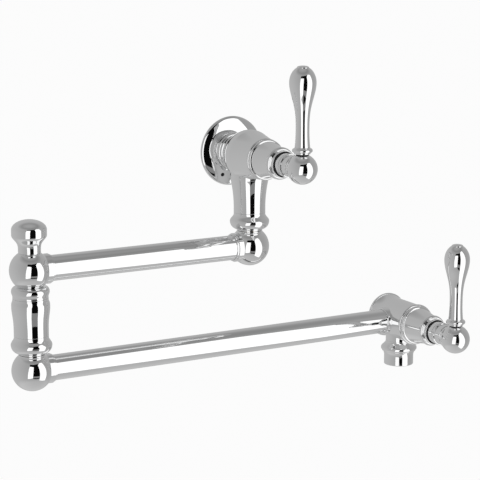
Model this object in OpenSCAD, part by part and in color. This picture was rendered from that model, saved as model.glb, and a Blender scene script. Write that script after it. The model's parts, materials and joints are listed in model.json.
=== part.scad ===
/* [Arm] */
// Outer diameter of both arm tubes
tube_d = 22.2; // [19:0.1:24]
// Wall thickness of both arm tubes
tube_wall = 1.2; // [0.8:0.1:2]
// Shoulder swivel axis to elbow swivel axis
upper_len = 213.2; // [150:0.1:300]
// Elbow swivel axis to spout axis
lower_len = 377.5; // [330:0.1:450]
// Wall valve axis down to the upper arm's axis
leg_drop = 82; // [76:0.1:110]
// Upper arm's axis down to the lower arm's axis
elbow_drop = 87.2; // [80:0.1:120]
// Diameter of the shoulder and elbow balls
ball_d = 35.4; // [34:0.1:38]
// Wall left in a ball between its tube and its spindle
stop_wall = 1.5; // [1:0.1:3]
// Diameter of the water way from a tube into its ball
arm_way_d = 12; // [9:0.1:12.4]
// Spout axis to the lower tube's end inside the spout valve
spout_tube_stop = 13.5; // [13.2:0.1:14]

/* [Tube sockets] */
// Wall of the collar that a ball grips a tube with
collar_wall = 1.75; // [1.3:0.05:2.5]
// How far that collar stands out of its ball
collar_len = 4.7; // [3:0.1:8]
// Wall of the thin lip at the collar's mouth
lip_wall = 0.9; // [0.5:0.05:1.2]
// Length of that lip
lip_len = 1.7; // [0.8:0.1:3]

/* [Wall flange] */
// Diameter of the wall flange
flange_d = 62.9; // [58:0.1:75]
// Thickness of the flange round its hole
flange_face_t = 4; // [3.4:0.1:5]
// Thickness of the flange under the union's ring
flange_seat_t = 2.7; // [2:0.1:3]
// Fall of the flange's domed face from its hole to its rim
flange_fall = 2.2; // [1:0.1:2.4]
// Height of the rim above the face's foot
rim_h = 2.8; // [2.2:0.1:4]
// Width of the flat top of the rim
rim_w = 0.8; // [0.4:0.1:3]
// Radius of the rim's outer edge
rim_edge = 1.5; // [0.6:0.1:2]
// Radius of the rim's inner edge
rim_step = 1; // [0.4:0.1:1.1]
// Diameter of the grub screw in the flange
flange_screw_d = 3.4; // [3:0.1:5]
// Distance of that screw's axis from the flange's edge
flange_screw_in = 8.05; // [7.5:0.05:9]
// Angle of that screw below the horizontal, on the arm's side
flange_screw_angle = 62; // [50:1:80]

/* [Inlet union] */
// Wall to the vertical axis of the wall valve's leg
standoff = 33.7; // [32:0.1:44]
// Diameter of the ring that seats on the flange
seat_ring_d = 33.8; // [32.4:0.1:36]
// Width of that ring
seat_ring_w = 4.6; // [3:0.1:5]
// Diameter of the ring behind the valve's ball
rear_ring_d = 34; // [33.4:0.1:36]
// Width of that ring
rear_ring_w = 4.4; // [3:0.1:5]
// Diameter of the union's neck
union_neck_d = 30; // [29:0.1:31.4]
// Diameter of the inlet thread's bore
inlet_d = 18.6; // [17:0.1:20]
// Depth of the inlet thread
inlet_depth = 14; // [10:0.1:14.5]
// Diameter of the water way through the union and the seat
seat_bore_d = 15; // [12:0.1:16]
// Diameter of the spigots that screw into a valve body's rear
spigot_d = 24; // [22:0.1:26]
// Length of those spigots
spigot_len = 4.4; // [3:0.1:4.8]

/* [Valve bodies] */
// Diameter of the wall valve's ball
body_ball_d = 46; // [44:0.1:50]
// Diameter of the wall valve's barrel, behind its bead
wall_barrel_d = 36.8; // [34:0.1:37]
// Diameter of the spout valve's barrel
spout_barrel_d = 36.8; // [35:0.1:37.4]
// Flare of the spout valve's barrel at its rear end
barrel_flare = 1.6; // [0.5:0.1:2]
// Length of that flare
barrel_flare_len = 12; // [4:0.1:14]
// Flat rear face of the wall valve's ball, from its centre
body_rear = 16.6; // [15:0.1:17.5]
// Rear end of the spout valve's barrel, from the spout axis
spout_rear = 19.3; // [17:0.1:22]
// Front end of both barrels, from the leg or spout axis
barrel_front = 30.2; // [29:0.1:34]
// Diameter of the bead at the wall valve's front end
wall_bead_d = 37.2; // [37:0.1:39]
// Diameter of the bead at the spout valve's front end
spout_bead_d = 38.6; // [37.6:0.1:40]
// Width of those beads
barrel_bead_w = 5; // [3:0.1:6]
// Diameter of the cap at the back of the spout valve
cap_d = 41.4; // [38:0.1:46]
// Thickness of that cap
cap_t = 3; // [3:0.1:6]
// Radius of the cap's edges
cap_edge = 0.9; // [0.5:0.1:1.5]
// Rise of the cap's back face from its edge to its centre
cap_dome = 0.8; // [0.1:0.1:2]
// Diameter of the passage from the lower tube to the spout valve's seat
side_way_d = 5; // [3:0.1:5.5]
// Wall between that passage and the cartridge's bore
side_wall = 0.5; // [0.3:0.1:1]
// Diameter of the flared boss where it meets the spout valve's barrel
boss_d = 26; // [25:0.1:30]
// Wall of that boss at its mouth
boss_wall = 0.7; // [0.4:0.1:1.4]
// Spout axis to the boss's mouth
boss_out = 24.5; // [22:0.1:28]

/* [Leg] */
// Diameter of the leg where it meets the wall valve's ball
leg_top_d = 34.6; // [32:0.1:36]
// Level where the leg starts to taper, below the valve axis
leg_taper = 20; // [18:0.1:24]
// Diameter of the leg at its waist
leg_d = 28.4; // [27:0.1:31]
// Height of the leg's waist above the swivel nut
leg_waist = 4; // [1:0.1:10]
// Diameter of the water way down the leg, the column and the spout
way_d = 15; // [12:0.1:15.4]
// Top of the water way, below a valve's axis
way_top = 14.5; // [13.6:0.1:15]

/* [Elbow column] */
// Height cut off the upper ball where it stands on the ring
seat_cut = 3.8; // [3:0.1:4.6]
// Diameter of the ring under the upper ball
column_ring_d = 32.8; // [31:0.1:35]
// Height of that ring
column_ring_h = 9.8; // [8:0.1:11]
// Height of the ring's rounded shoulder
ring_round_h = 4; // [2:0.1:5]
// Width of that shoulder
ring_round_w = 3.2; // [1:0.1:4]
// How far the ring and the column draw in where they meet
column_nip = 1.1; // [0.3:0.1:2]
// Height of the straight lips on both sides of that joint
nip_lip = 0.9; // [0.4:0.1:1.5]
// Diameter of the column's head, below that joint
column_top_d = 33; // [31:0.1:35]
// Height of the head, down to where it starts to taper
column_head_h = 7.5; // [6:0.1:10]
// Height of the head's widest band
column_band_h = 2; // [0.5:0.1:4]
// Diameter of the column at its foot
column_d = 29.8; // [28:0.1:31]
// Height of the straight foot above the swivel nut
column_foot_h = 4; // [1:0.1:8]

/* [Swivels] */
// Diameter of the neck between a nut and its ball
neck_d = 22.9; // [22.4:0.1:24]
// Height of that neck on the ball
neck_h = 0.95; // [0.6:0.05:2]
// Height of a swivel nut
nut_h = 16.25; // [15:0.05:19]
// Diameter of the bead round a nut
nut_d = 35.4; // [34:0.1:38]
// Height of that bead above the nut's foot
nut_bead_h = 8.25; // [7:0.05:10]
// Height of the straight lip at a nut's foot
nut_lip = 1.2; // [0.5:0.1:2]
// Height of the straight rim at a nut's top
nut_rim = 1.5; // [0.5:0.1:3]
// Thickness of a nut's floor
nut_floor = 4.25; // [3:0.05:5]
// Diameter of the thread between a nut and its leg
nut_thread_d = 22.8; // [22:0.1:24]
// Diameter of a swivel spindle
spindle_d = 16; // [15.6:0.1:17]
// Bore of a spindle
spindle_bore = 10; // [7:0.1:11]
// Level of a spindle's foot above its ball's centre
spindle_foot = 4; // [3:0.1:5]
// Length of a spindle above its shoulder
spindle_up = 13.5; // [11:0.1:15]
// Diameter of a spindle's shoulder
shoulder_d = 20.8; // [20:0.1:21.2]
// Thickness of a spindle's shoulder
shoulder_t = 3; // [2:0.1:3.2]
// Thickness of the slip washer under a shoulder
washer_t = 1; // [0.6:0.1:1.5]
// Diameter of the rubber O-rings' section
ring_section = 1.8; // [1.4:0.1:2]
// Distance between the two O-rings on a spindle
ring_pitch = 5.4; // [4:0.1:6]

/* [Finial] */
// Height cut off the upper ball where the finial stands
finial_cut = 2.4; // [1.8:0.1:3]
// Height of the finial
finial_h = 28.3; // [26:0.1:36]
// Diameter of the finial's neck
finial_neck_d = 19.4; // [18.4:0.1:21]
// Height of that neck
finial_neck_h = 2.5; // [1:0.1:5]
// Diameter of the finial's band
finial_d = 30.2; // [28:0.1:34]
// Height of that band
finial_band_h = 4.6; // [2:0.1:7]
// Height of the dome above the band
finial_dome_h = 8.6; // [6:0.1:12]
// Diameter of the finial's stud
stud_d = 8; // [6:0.1:9]
// Level of the stud's hole above the ball's centre
stud_foot = 7; // [6.8:0.1:9]

/* [Bonnet] */
// Diameter of the bead at a bonnet's rear
bonnet_bead_d = 35.2; // [34:0.1:37]
// Width of that bead
bonnet_bead_w = 3.6; // [2.5:0.1:4.5]
// Length of the bonnet, in front of the barrel
bonnet_len = 25.8; // [24:0.1:32]
// Diameter of the bonnet's cone next to that bead
cone_rear_d = 33.6; // [32:0.1:34]
// Diameter of the bonnet's cone at its front
cone_front_d = 26.4; // [25:0.1:28]
// Diameter of the bead at a bonnet's front
front_bead_d = 28.5; // [27:0.1:30]
// Width of that bead
front_bead_w = 4.8; // [3:0.1:6]
// Diameter of the thread between a bonnet and its barrel
bonnet_thread_d = 28; // [27:0.1:29]
// Length of that thread
bonnet_thread_len = 8.2; // [6:0.1:9]
// Inner bore of a bonnet
bonnet_bore_d = 21; // [19:0.1:22]
// Thickness of a bonnet's front wall
bonnet_wall = 8; // [7:0.1:10]

/* [Gland ring] */
// Length of the gland ring in front of its bonnet
gland_len = 4.3; // [3.5:0.1:6]
// Wall of the gland ring round the dark groove
gland_wall = 1.2; // [0.8:0.1:2]
// Width of the dark groove between the gland ring and the hub
groove_w = 0.7; // [0.5:0.05:1.2]
// Thickness of the gland ring behind that groove
gland_floor = 1.6; // [1.2:0.1:2]
// Width of the bead at the gland ring's front
gland_bead_w = 3.2; // [2:0.1:3.4]
// Rise of that bead
gland_bead_rise = 0.3; // [0.1:0.1:0.6]
// Diameter of the gland ring's spigot
gland_spigot_d = 16; // [13:0.1:18]
// Length of that spigot
gland_spigot_len = 6; // [4:0.1:6.8]

/* [Cartridge] */
// Diameter of a ceramic cartridge
cartridge_d = 24; // [22:0.1:25]
// Rear end of a cartridge's bore, behind the leg or spout axis
seat_back = 4; // [3:0.1:4.4]
// Thickness of the seat's rubber ring
seal_t = 2; // [1.5:0.1:2.5]
// Thickness of a cartridge's flange
cartridge_flange_t = 3; // [2:0.1:4]
// Diameter of a cartridge's neck inside the bonnet
cartridge_neck_d = 16; // [12:0.1:18]
// Length of that neck, in front of the flange
cartridge_neck_len = 12; // [8:0.1:18]
// Diameter of the chamber inside a cartridge
chamber_d = 18; // [17.4:0.1:19]
// Length of the chamber in front of the stem's plate
chamber_len = 6.4; // [5:0.1:8]
// How far the fixed disc is set into the cartridge
disc_inset = 0.5; // [0.3:0.1:1]
// Diameter of the moving ceramic disc
disc_d = 17.2; // [16:0.1:17.3]
// Thickness of a ceramic disc
disc_t = 3; // [2:0.1:3.2]
// Diameter of the two holes in each disc
disc_port_d = 3; // [2:0.1:3.2]
// Distance of those holes from the valve axis
disc_port_r = 5.8; // [5.7:0.05:5.9]
// Diameter of a lever's stem
stem_d = 8; // [7:0.1:8.2]
// Thickness of the plate on the stem that turns the moving disc
plate_t = 1.5; // [1:0.1:2]
// Width of the two windows in a cartridge's side
window_w = 8; // [6:0.1:10]
// Diameter of the port from a cartridge down to the water way
port_d = 6.4; // [6:0.1:6.6]
// Lower end of that port, below the valve axis
port_end = 17; // [16:0.1:17.2]

/* [Lever] */
// Leg or spout axis to the centre of a lever's ball
lever_out = 89.9; // [88:0.1:110]
// Diameter of a lever's ball
lever_ball_d = 26.4; // [25:0.1:30]
// Height of a lever's tip above its ball's centre
lever_h = 88; // [75:0.1:120]
// Diameter of a lever's hub
hub_d = 20.4; // [19.6:0.1:21]
// Length of the hub's straight part, in front of the gland ring
hub_straight = 6.1; // [4:0.1:7]
// Width of the rounded rim in front of that part
hub_rim_w = 4; // [2:0.1:5]
// Rise of that rim
hub_rim_rise = 0.4; // [0.1:0.1:0.8]
// Diameter of the hub's waist
hub_waist_d = 18.8; // [17:0.1:19.6]
// Width of the thin bead in front of the waist
hub_bead_w = 1.8; // [1:0.1:2.5]
// Rise of that bead
hub_bead_rise = 0.5; // [0.2:0.1:1]
// Distance from that bead to where the ball starts
hub_bead_gap = 2.3; // [1.5:0.1:3]
// Length of the stem inside the hub
stem_grip = 16; // [12:0.1:18]
// Diameter of a hub's grub screw
grub_d = 4; // [3:0.1:4.6]
// Distance of that screw from the gland ring
grub_in = 3.2; // [3:0.1:4]
// Height cut off a lever's ball where its collar stands
lever_cut = 0.7; // [0.6:0.1:0.9]
// Diameter of the neck that a lever's collar stands on
collar_neck_d = 8.4; // [7.4:0.1:9]
// Height of that neck
collar_neck_h = 0.7; // [0.4:0.1:1]
// Diameter of the collar above its neck
lever_collar_d = 14; // [13.4:0.1:15]
// Diameter of the bead round that collar
lever_bead_d = 17.6; // [16.4:0.1:20]
// Width of that bead
lever_bead_w = 3.7; // [2:0.1:4.5]
// Height of that bead above the collar's foot
lever_bead_h = 3.6; // [3.3:0.1:5]
// Height of the collar's top above that bead
collar_over = 2.6; // [2.3:0.1:4]
// Diameter of a lever's grip at its foot
grip_foot_d = 13.2; // [12:0.1:14]
// Diameter of the grip where it is thinnest
grip_waist_d = 11.7; // [10:0.1:11.9]
// Height of that place above the collar
grip_waist_h = 14.7; // [8:0.1:20]
// Diameter of the grip at its swell
grip_d = 23.2; // [20:0.1:26]
// Height of the grip's dome above its swell
grip_dome_h = 12.3; // [8:0.1:18]
// Flat at the grip's tip, round the button
grip_flat = 0.5; // [0.3:0.1:2]
// Diameter of the button on a lever's tip
button_d = 10.4; // [6:0.1:12]
// Height of that button
button_h = 2; // [2:0.1:4]
// Height of the button's straight rim
button_rim = 0.5; // [0.3:0.1:1.5]
// Diameter of the stud that holds a lever in its ball
lever_stud_d = 6; // [5:0.1:7]
// Level of that stud's hole above the ball's centre
lever_stud_foot = 3.5; // [2:0.1:6]

/* [Spout] */
// Diameter of the neck under the spout valve
spout_neck_d = 25.2; // [24.6:0.1:27]
// Level of that neck's end, below the valve axis
spout_neck_end = 20.4; // [20:0.1:25]
// Diameter of the thread between the neck and the outlet housing
outlet_thread_d = 20.6; // [19:0.1:21]
// Length of that thread
outlet_thread_len = 4.4; // [4:0.1:5]
// Height of the outlet housing
outlet_h = 9.8; // [9.6:0.1:14]
// Diameter of the bead round the outlet
outlet_bead_d = 34; // [31:0.1:37]
// Level of that bead below the neck's end
outlet_bead_z = 7.4; // [6:0.1:7.8]
// Height of the bead's straight band
outlet_band_h = 1; // [0.5:0.1:1.6]
// Diameter of the housing at its foot
outlet_lip_d = 32; // [31.4:0.1:33.6]
// Height of the straight lip at that foot
outlet_lip = 0.4; // [0.3:0.1:0.8]
// Thickness of the wall between the neck's thread and the aerator's
outlet_web = 1.4; // [1:0.1:2]
// Diameter of the way through that wall
outlet_way_d = 17; // [14:0.1:18]
// Diameter of the aerator at its mouth
aerator_d = 27.8; // [26:0.1:29]
// Diameter of the aerator under the outlet housing
aerator_top_d = 30.4; // [29.2:0.1:31.4]
// Height of the taper between those diameters
aerator_taper_h = 5.4; // [3:0.1:8]
// Height of the aerator below the outlet housing
aerator_h = 13.4; // [10:0.1:16]
// Radius of the aerator's lower edge
aerator_edge = 0.8; // [0.3:0.1:1.5]
// Diameter of the aerator's thread
aerator_thread_d = 22.6; // [21.4:0.1:23.4]
// Inner diameter of the aerator at its mouth
aerator_bore_d = 19.2; // [18:0.1:20]
// Inner diameter of the aerator above its insert
aerator_way_d = 15.8; // [12:0.1:16.5]
// Thickness of the aerator's gasket
gasket_t = 1.3; // [0.8:0.1:2]

/* [Aerator insert] */
// Height of the insert
insert_h = 4; // [3:0.1:4.6]
// How far the insert stands back from the aerator's mouth
insert_back = 0.6; // [0.2:0.1:1]
// Number of ring gaps in the insert
grid_rings = 4; // [2:1:4]
// Width of each ring gap
grid_gap = 1.2; // [0.6:0.1:1.5]
// Wall between ring gaps
grid_wall = 0.8; // [0.5:0.1:0.9]
// Wall outside the outermost gap
grid_rim = 0.9; // [0.6:0.1:1.2]
// Height and place of the spokes inside the insert, from its faces
spoke_inset = 0.6; // [0.3:0.1:1]
// Width of the spokes
spoke_w = 1; // [0.6:0.1:1.4]

/* [Fits] */
// Radial clearance of a fixed fit or a thread
fix_gap = 0.05; // [0.02:0.01:0.08]
// Radial clearance of a running fit
run_gap = 0.06; // [0.03:0.01:0.1]
// Gap between flat faces that turn on each other
face_gap = 0.05; // [0.03:0.01:0.1]
// Open gap between a nut's foot and the ball below it
foot_gap = 0.3; // [0.2:0.05:0.5]
// Clearance at the blind end of a hole or thread
end_gap = 0.4; // [0.3:0.05:0.5]
// Radial clearance of a loose washer, seal or flange
loose_gap = 0.2; // [0.1:0.05:0.3]

/* [Hidden] */
chrome = [0.80, 0.81, 0.82];
brass = [0.78, 0.66, 0.36];
ceramic = [0.93, 0.93, 0.90];
rubber = [0.10, 0.10, 0.11];
plastic = [0.88, 0.89, 0.90];
dark = [0.16, 0.16, 0.17];
smooth = 96;
// How far a cutter runs past what it cuts, and a joined piece into its neighbour
cut = 1;

// Distance from a ball's centre to where the ball has the diameter d
function level_on(ball, d) = sqrt(pow(ball / 2, 2) - pow(d / 2, 2));

tube_hole_d = tube_d + 2 * fix_gap;
collar_d = tube_hole_d + 2 * collar_wall;
lip_d = tube_hole_d + 2 * lip_wall;
collar_end = level_on(ball_d, collar_d) + collar_len;
tube_stop = spindle_d / 2 + stop_wall;
arm_z = -leg_drop;
low_z = arm_z - elbow_drop;
elbow_x = -upper_len;
spout_x = lower_len - upper_len;

flange_t = flange_face_t - flange_fall + rim_h;
flange_screw_r = flange_d / 2 - flange_screw_in;

ball_seat = ball_d / 2 - seat_cut;
finial_seat = ball_d / 2 - finial_cut;
neck_top = level_on(ball_d, neck_d) + neck_h;
nut_foot = neck_top + foot_gap;
nut_top = nut_foot + nut_h;
washer_z = nut_foot + nut_floor;
shoulder_z = washer_z + washer_t + face_gap;
spindle_z = shoulder_z + shoulder_t;
spindle_top = spindle_z + spindle_up;

seat_front = -seat_back;
cart_back = seat_front + seal_t;
disc_back = cart_back + disc_inset;
disc_front = disc_back + disc_t;
moving_back = disc_front + face_gap;
plate_back = moving_back + disc_t;
plate_front = plate_back + plate_t;
chamber_end = plate_front + chamber_len;
port_y = (plate_front + chamber_end) / 2;
flange_seat = barrel_front - bonnet_thread_len - cartridge_flange_t;
bonnet_end = barrel_front + bonnet_len;
gland_end = bonnet_end + gland_len;
gland_d = hub_d + 2 * groove_w + 2 * gland_wall;
groove_back = bonnet_end + gland_floor;
hub_back = groove_back + end_gap;

lever_foot = lever_ball_d / 2 - lever_cut;
lever_bead_z = lever_foot + lever_bead_h;
collar_top = lever_bead_z + collar_over;
grip_top = lever_h - button_h;

outlet_top = -spout_neck_end;
outlet_foot = outlet_top - outlet_h;
web_foot = outlet_top - outlet_thread_len - end_gap / 2 - outlet_web;
aerator_foot = outlet_foot - aerator_h;

// Points along an S from one radius and level to the next. Where late is over 1, the S stays
// longer near its first radius.
function flow(r0, z0, r1, z1, n = 8, late = 1) =
    [for (i = [0 : n]) let (t = i / n)
        [r0 + (r1 - r0) * (1 - cos(180 * pow(t, late))) / 2, z0 + (z1 - z0) * t]];

// Points along a flare that widens steadily from its first radius to its second
function flare(r0, z0, r1, z1, n = 8) =
    [for (i = [0 : n]) let (t = i / n)
        [r0 + (r1 - r0) * t * t, z0 + (z1 - z0) * t]];

// The same points from the last to the first
function back(points) = [for (i = [len(points) - 1 : -1 : 0]) points[i]];

// Points along part of an ellipse about a centre
function oval(rc, zc, a, b, from, to, n = 8) =
    [for (i = [0 : n]) let (t = from + (to - from) * i / n)
        [rc + a * cos(t), zc + b * sin(t)]];

module turned(points) {
    rotate_extrude($fn = smooth) polygon(points);
}

module bore(d, z0, z1) {
    translate([0, 0, z0]) cylinder(d = d, h = z1 - z0, $fn = smooth);
}

module ring(d_out, d_in, z0, z1) {
    difference() {
        bore(d_out, z0, z1);
        bore(d_in, z0 - cut, z1 + cut);
    }
}

// Round-edged bead between two levels, on a base of its own diameter
module bead(d, d_base, z0, z1) {
    r = (z1 - z0) / 2;
    rotate_extrude($fn = smooth) union() {
        translate([0, z0]) square([d / 2 - r, z1 - z0]);
        translate([d / 2 - r, (z0 + z1) / 2]) circle(r = r, $fn = smooth);
        translate([0, z0]) square([d_base / 2, z1 - z0]);
    }
}

module at_axis(x, z) {
    translate([x, -standoff, z]) children();
}

// Stands children on a valve's axis, with their z pointing away from the wall
module on_valve(x, z) {
    at_axis(x, z) rotate([90, 0, 0]) children();
}

// Turns children so that their z points along +x
module sideways() {
    rotate([0, 90, 0]) children();
}

// Headless screw with a six-sided socket in its outer end
module grub(d, length) {
    socket_d = d * 0.55;
    socket_h = d * 0.4;
    difference() {
        bore(d, 0, length);
        translate([0, 0, length - socket_h]) cylinder(d = socket_d, h = socket_h + cut, $fn = 6);
    }
}

module flange_screw_place() {
    rotate([0, 0, 180 + flange_screw_angle]) translate([flange_screw_r, 0, 0]) children();
}

module wall_flange() {
    edge_r = flange_d / 2 - rim_edge;
    step_r = edge_r - rim_w;
    seat_r = seat_ring_d / 2 + fix_gap;
    face_w = step_r - rim_step - seat_r;
    crown_r = (pow(face_w, 2) + pow(flange_fall, 2)) / (2 * flange_fall);
    fall_angle = asin(face_w / crown_r);
    color(chrome) rotate([90, 0, 0]) difference() {
        turned(concat(
            [[0, 0], [flange_d / 2, 0]],
            oval(edge_r, flange_t - rim_edge, rim_edge, rim_edge, 0, 90, 6),
            oval(step_r, flange_t - rim_step, rim_step, rim_step, 90, 180, 6),
            oval(seat_r, flange_face_t - crown_r, crown_r, crown_r, 90 - fall_angle, 90),
            [[0, flange_face_t]]));
        bore(union_neck_d + 2 * fix_gap, -cut, flange_t + cut);
        bore(2 * seat_r, flange_seat_t, flange_t + cut);
        flange_screw_place() bore(flange_screw_d + 2 * fix_gap, -cut, flange_t + cut);
    }
}

module flange_screw() {
    color(dark) rotate([90, 0, 0]) flange_screw_place() grub(flange_screw_d, flange_seat_t);
}

module inlet_union() {
    body_face = standoff - body_rear;
    rear_ring_z = body_face - rear_ring_w;
    color(chrome) rotate([90, 0, 0]) difference() {
        union() {
            bore(union_neck_d, 0, body_face - cut);
            bead(seat_ring_d, union_neck_d, flange_seat_t, flange_seat_t + seat_ring_w);
            bead(rear_ring_d, union_neck_d, rear_ring_z, body_face);
            bore(spigot_d, rear_ring_z, body_face + spigot_len);
        }
        bore(inlet_d, -cut, inlet_depth);
        bore(seat_bore_d, inlet_depth - cut, standoff);
    }
}

// A valve body's barrel with the bead at its front end
module barrel(d, bead_d, from) {
    bore(d, from, barrel_front - barrel_bead_w / 2);
    bead(bead_d, d, barrel_front - barrel_bead_w, barrel_front);
}

// Cone that runs on from the wall valve's ball, without a crease, down to its barrel's bead
module ball_cone() {
    ball_r = body_ball_d / 2;
    end_r = wall_barrel_d / 2;
    end_z = barrel_front - barrel_bead_w;
    leave = atan2(end_z, end_r) - acos(ball_r / norm([end_z, end_r]));
    start_z = ball_r * sin(leave);
    turned([[0, start_z], [ball_r * cos(leave), start_z], [end_r, end_z], [0, end_z]]);
}

// Bores that both valve bodies share, on the valve's axis
module cartridge_bores(rear) {
    bore(spigot_d + 2 * fix_gap, -rear - cut, -rear + spigot_len + end_gap);
    bore(seat_bore_d, -rear, 0);
    bore(cartridge_d + 2 * fix_gap, seat_front, flange_seat + cut);
    bore(bonnet_thread_d + 2 * fix_gap, flange_seat, barrel_front + cut);
}

// Port from the cartridge's window down into the water way
module outlet_port() {
    translate([0, -port_y, -port_end])
        cylinder(d = port_d, h = port_end - cartridge_d / 2 + cut, $fn = smooth);
}

// Threaded spigot of the leg or the column, inside the swivel nut
module swivel_foot() {
    bore(nut_thread_d, spindle_z + end_gap, nut_top + cut);
}

// Bore that a spindle turns in
module swivel_bores() {
    bore(spindle_d + 2 * run_gap, spindle_z, spindle_top + end_gap);
}

module wall_valve_body() {
    foot = arm_z + nut_top;
    color(chrome) difference() {
        union() {
            at_axis(0, 0) sphere(d = body_ball_d, $fn = smooth);
            on_valve(0, 0) barrel(wall_barrel_d, wall_bead_d, barrel_front - barrel_bead_w - cut);
            on_valve(0, 0) ball_cone();
            at_axis(0, 0) turned(concat(
                [[0, foot], [leg_d / 2, foot]],
                flare(leg_d / 2, foot + leg_waist, leg_top_d / 2, -leg_taper, 10),
                [[leg_top_d / 2, 0], [0, 0]]));
            at_axis(0, arm_z) swivel_foot();
        }
        on_valve(0, 0) bore(rear_ring_d + cut, -body_ball_d, -body_rear);
        on_valve(0, 0) cartridge_bores(body_rear);
        at_axis(0, 0) outlet_port();
        at_axis(0, 0) bore(way_d, foot - nut_h, -way_top);
        at_axis(0, arm_z) swivel_bores();
    }
}

module swivel_nut(top_d) {
    bead_z = nut_foot + nut_bead_h;
    difference() {
        turned(concat(
            [[0, nut_top], [top_d / 2, nut_top]],
            flow(top_d / 2, nut_top - nut_rim, nut_d / 2, bead_z),
            oval(neck_d / 2, bead_z, (nut_d - neck_d) / 2, nut_bead_h - nut_lip, 0, -90),
            [[neck_d / 2, nut_foot], [0, nut_foot]]));
        bore(nut_thread_d + 2 * fix_gap, washer_z, nut_top + cut);
        bore(spindle_d + 2 * run_gap, nut_foot - cut, nut_top);
    }
}

module slip_washer() {
    ring(shoulder_d + 2 * loose_gap, spindle_d + 4 * loose_gap, washer_z, washer_z + washer_t);
}

// Levels of the two rubber rings on a spindle
ring_mid = spindle_z + spindle_up / 2;
ring_levels = [ring_mid - ring_pitch / 2, ring_mid + ring_pitch / 2];
// Centre circle of an O-ring, which stands just clear of the bore round it
ring_r = spindle_d / 2 + run_gap / 2 - ring_section / 2;
// A groove is wider and deeper than its O-ring by this much
groove_gap = 0.3;

module spindle() {
    groove_d = 2 * (ring_r - ring_section / 2 - groove_gap);
    half = ring_section / 2 + groove_gap;
    difference() {
        union() {
            bore(spindle_d, spindle_foot, spindle_top);
            bore(shoulder_d, shoulder_z, spindle_z);
        }
        bore(spindle_bore, spindle_foot - cut, spindle_top + cut);
        for (z = ring_levels)
            ring(spindle_d + 2 * cut, groove_d, z - half, z + half);
    }
}

module spindle_rings() {
    for (z = ring_levels)
        translate([0, 0, z]) rotate_extrude($fn = smooth)
            translate([ring_r, 0]) circle(d = ring_section, $fn = 32);
}

// Collar and lip round a tube's end, on the ball's x axis
module tube_collar() {
    sideways() bore(collar_d, 0, collar_end);
    sideways() bore(lip_d, collar_end - cut, collar_end + lip_len);
}

module tube_bores() {
    sideways() bore(tube_hole_d, tube_stop, ball_d);
    sideways() bore(arm_way_d, 0, tube_stop + cut);
}

// Slice that cuts a ball flat, from a level upward
module flat_cut(z) {
    bore(ball_d + cut, z, z + ball_d);
}

module swivel_ball() {
    difference() {
        union() {
            sphere(d = ball_d, $fn = smooth);
            tube_collar();
            bore(neck_d, 0, neck_top);
        }
        flat_cut(neck_top);
        tube_bores();
        bore(spindle_d + 2 * fix_gap, spindle_foot, ball_d);
        bore(spindle_bore, 0, spindle_foot + cut);
    }
}

module shoulder_ball() {
    color(chrome) at_axis(0, arm_z) mirror([1, 0, 0]) swivel_ball();
}

module elbow_lower_ball() {
    color(chrome) at_axis(elbow_x, low_z) swivel_ball();
}

module upper_tube() {
    color(chrome) at_axis(elbow_x, arm_z) sideways()
        ring(tube_d, tube_d - 2 * tube_wall, tube_stop, upper_len - tube_stop);
}

module lower_tube() {
    color(chrome) at_axis(elbow_x, low_z) sideways()
        ring(tube_d, tube_d - 2 * tube_wall, tube_stop, lower_len - spout_tube_stop);
}

module elbow_upper_ball() {
    color(chrome) at_axis(elbow_x, arm_z) difference() {
        union() {
            sphere(d = ball_d, $fn = smooth);
            tube_collar();
        }
        flat_cut(finial_seat);
        mirror([0, 0, 1]) flat_cut(ball_seat);
        tube_bores();
        bore(spindle_d + 2 * fix_gap, -ball_seat - cut, -spindle_foot);
        bore(spindle_bore, -spindle_foot - cut, 0);
        bore(stud_d + 2 * fix_gap, stud_foot, ball_d);
    }
}

// How late the finial's neck, the column and a lever's grip swell
neck_late = 1.6;
column_late = 1.4;
grip_late = 1.45;

module elbow_finial() {
    dome_z = finial_h - finial_dome_h;
    r = finial_d / 2;
    color(chrome) at_axis(elbow_x, arm_z) translate([0, 0, finial_seat]) union() {
        bore(stud_d, stud_foot + end_gap - finial_seat, cut);
        turned(concat(
            [[0, 0], [finial_neck_d / 2, 0]],
            flow(finial_neck_d / 2, finial_neck_h, r, dome_z - finial_band_h, 10, neck_late),
            oval(0, dome_z, r, finial_dome_h, 0, 90, 10)));
    }
}

module column_ring() {
    foot = -ball_seat - column_ring_h;
    round_z = -ball_seat - ring_round_h;
    r = column_ring_d / 2;
    color(chrome) at_axis(elbow_x, arm_z) difference() {
        turned(concat(
            [[0, foot], [r - column_nip, foot]],
            flow(r - column_nip, foot + nip_lip, r, round_z, 6),
            oval(r - ring_round_w, round_z, ring_round_w, ring_round_h, 0, 90, 6),
            [[0, -ball_seat]]));
        bore(spindle_d + 2 * fix_gap, foot - cut, -ball_seat + cut);
    }
}

module elbow_column() {
    top = -ball_seat - column_ring_h;
    foot = -elbow_drop + nut_top;
    head_z = top - column_head_h;
    r0 = column_d / 2;
    r1 = column_top_d / 2;
    color(chrome) at_axis(elbow_x, arm_z) difference() {
        union() {
            bore(spindle_d, top - cut, -spindle_foot - end_gap);
            turned(concat(
                [[0, foot], [r0, foot]],
                flow(r0, foot + column_foot_h, r1, head_z, 10, column_late),
                flow(r1, head_z + column_band_h, r1 - column_nip, top - nip_lip, 5),
                [[r1 - column_nip, top], [0, top]]));
            translate([0, 0, -elbow_drop]) swivel_foot();
        }
        bore(spindle_bore, -elbow_drop, 0);
        bore(way_d, foot - nut_h, head_z);
        translate([0, 0, -elbow_drop]) swivel_bores();
    }
}

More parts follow.
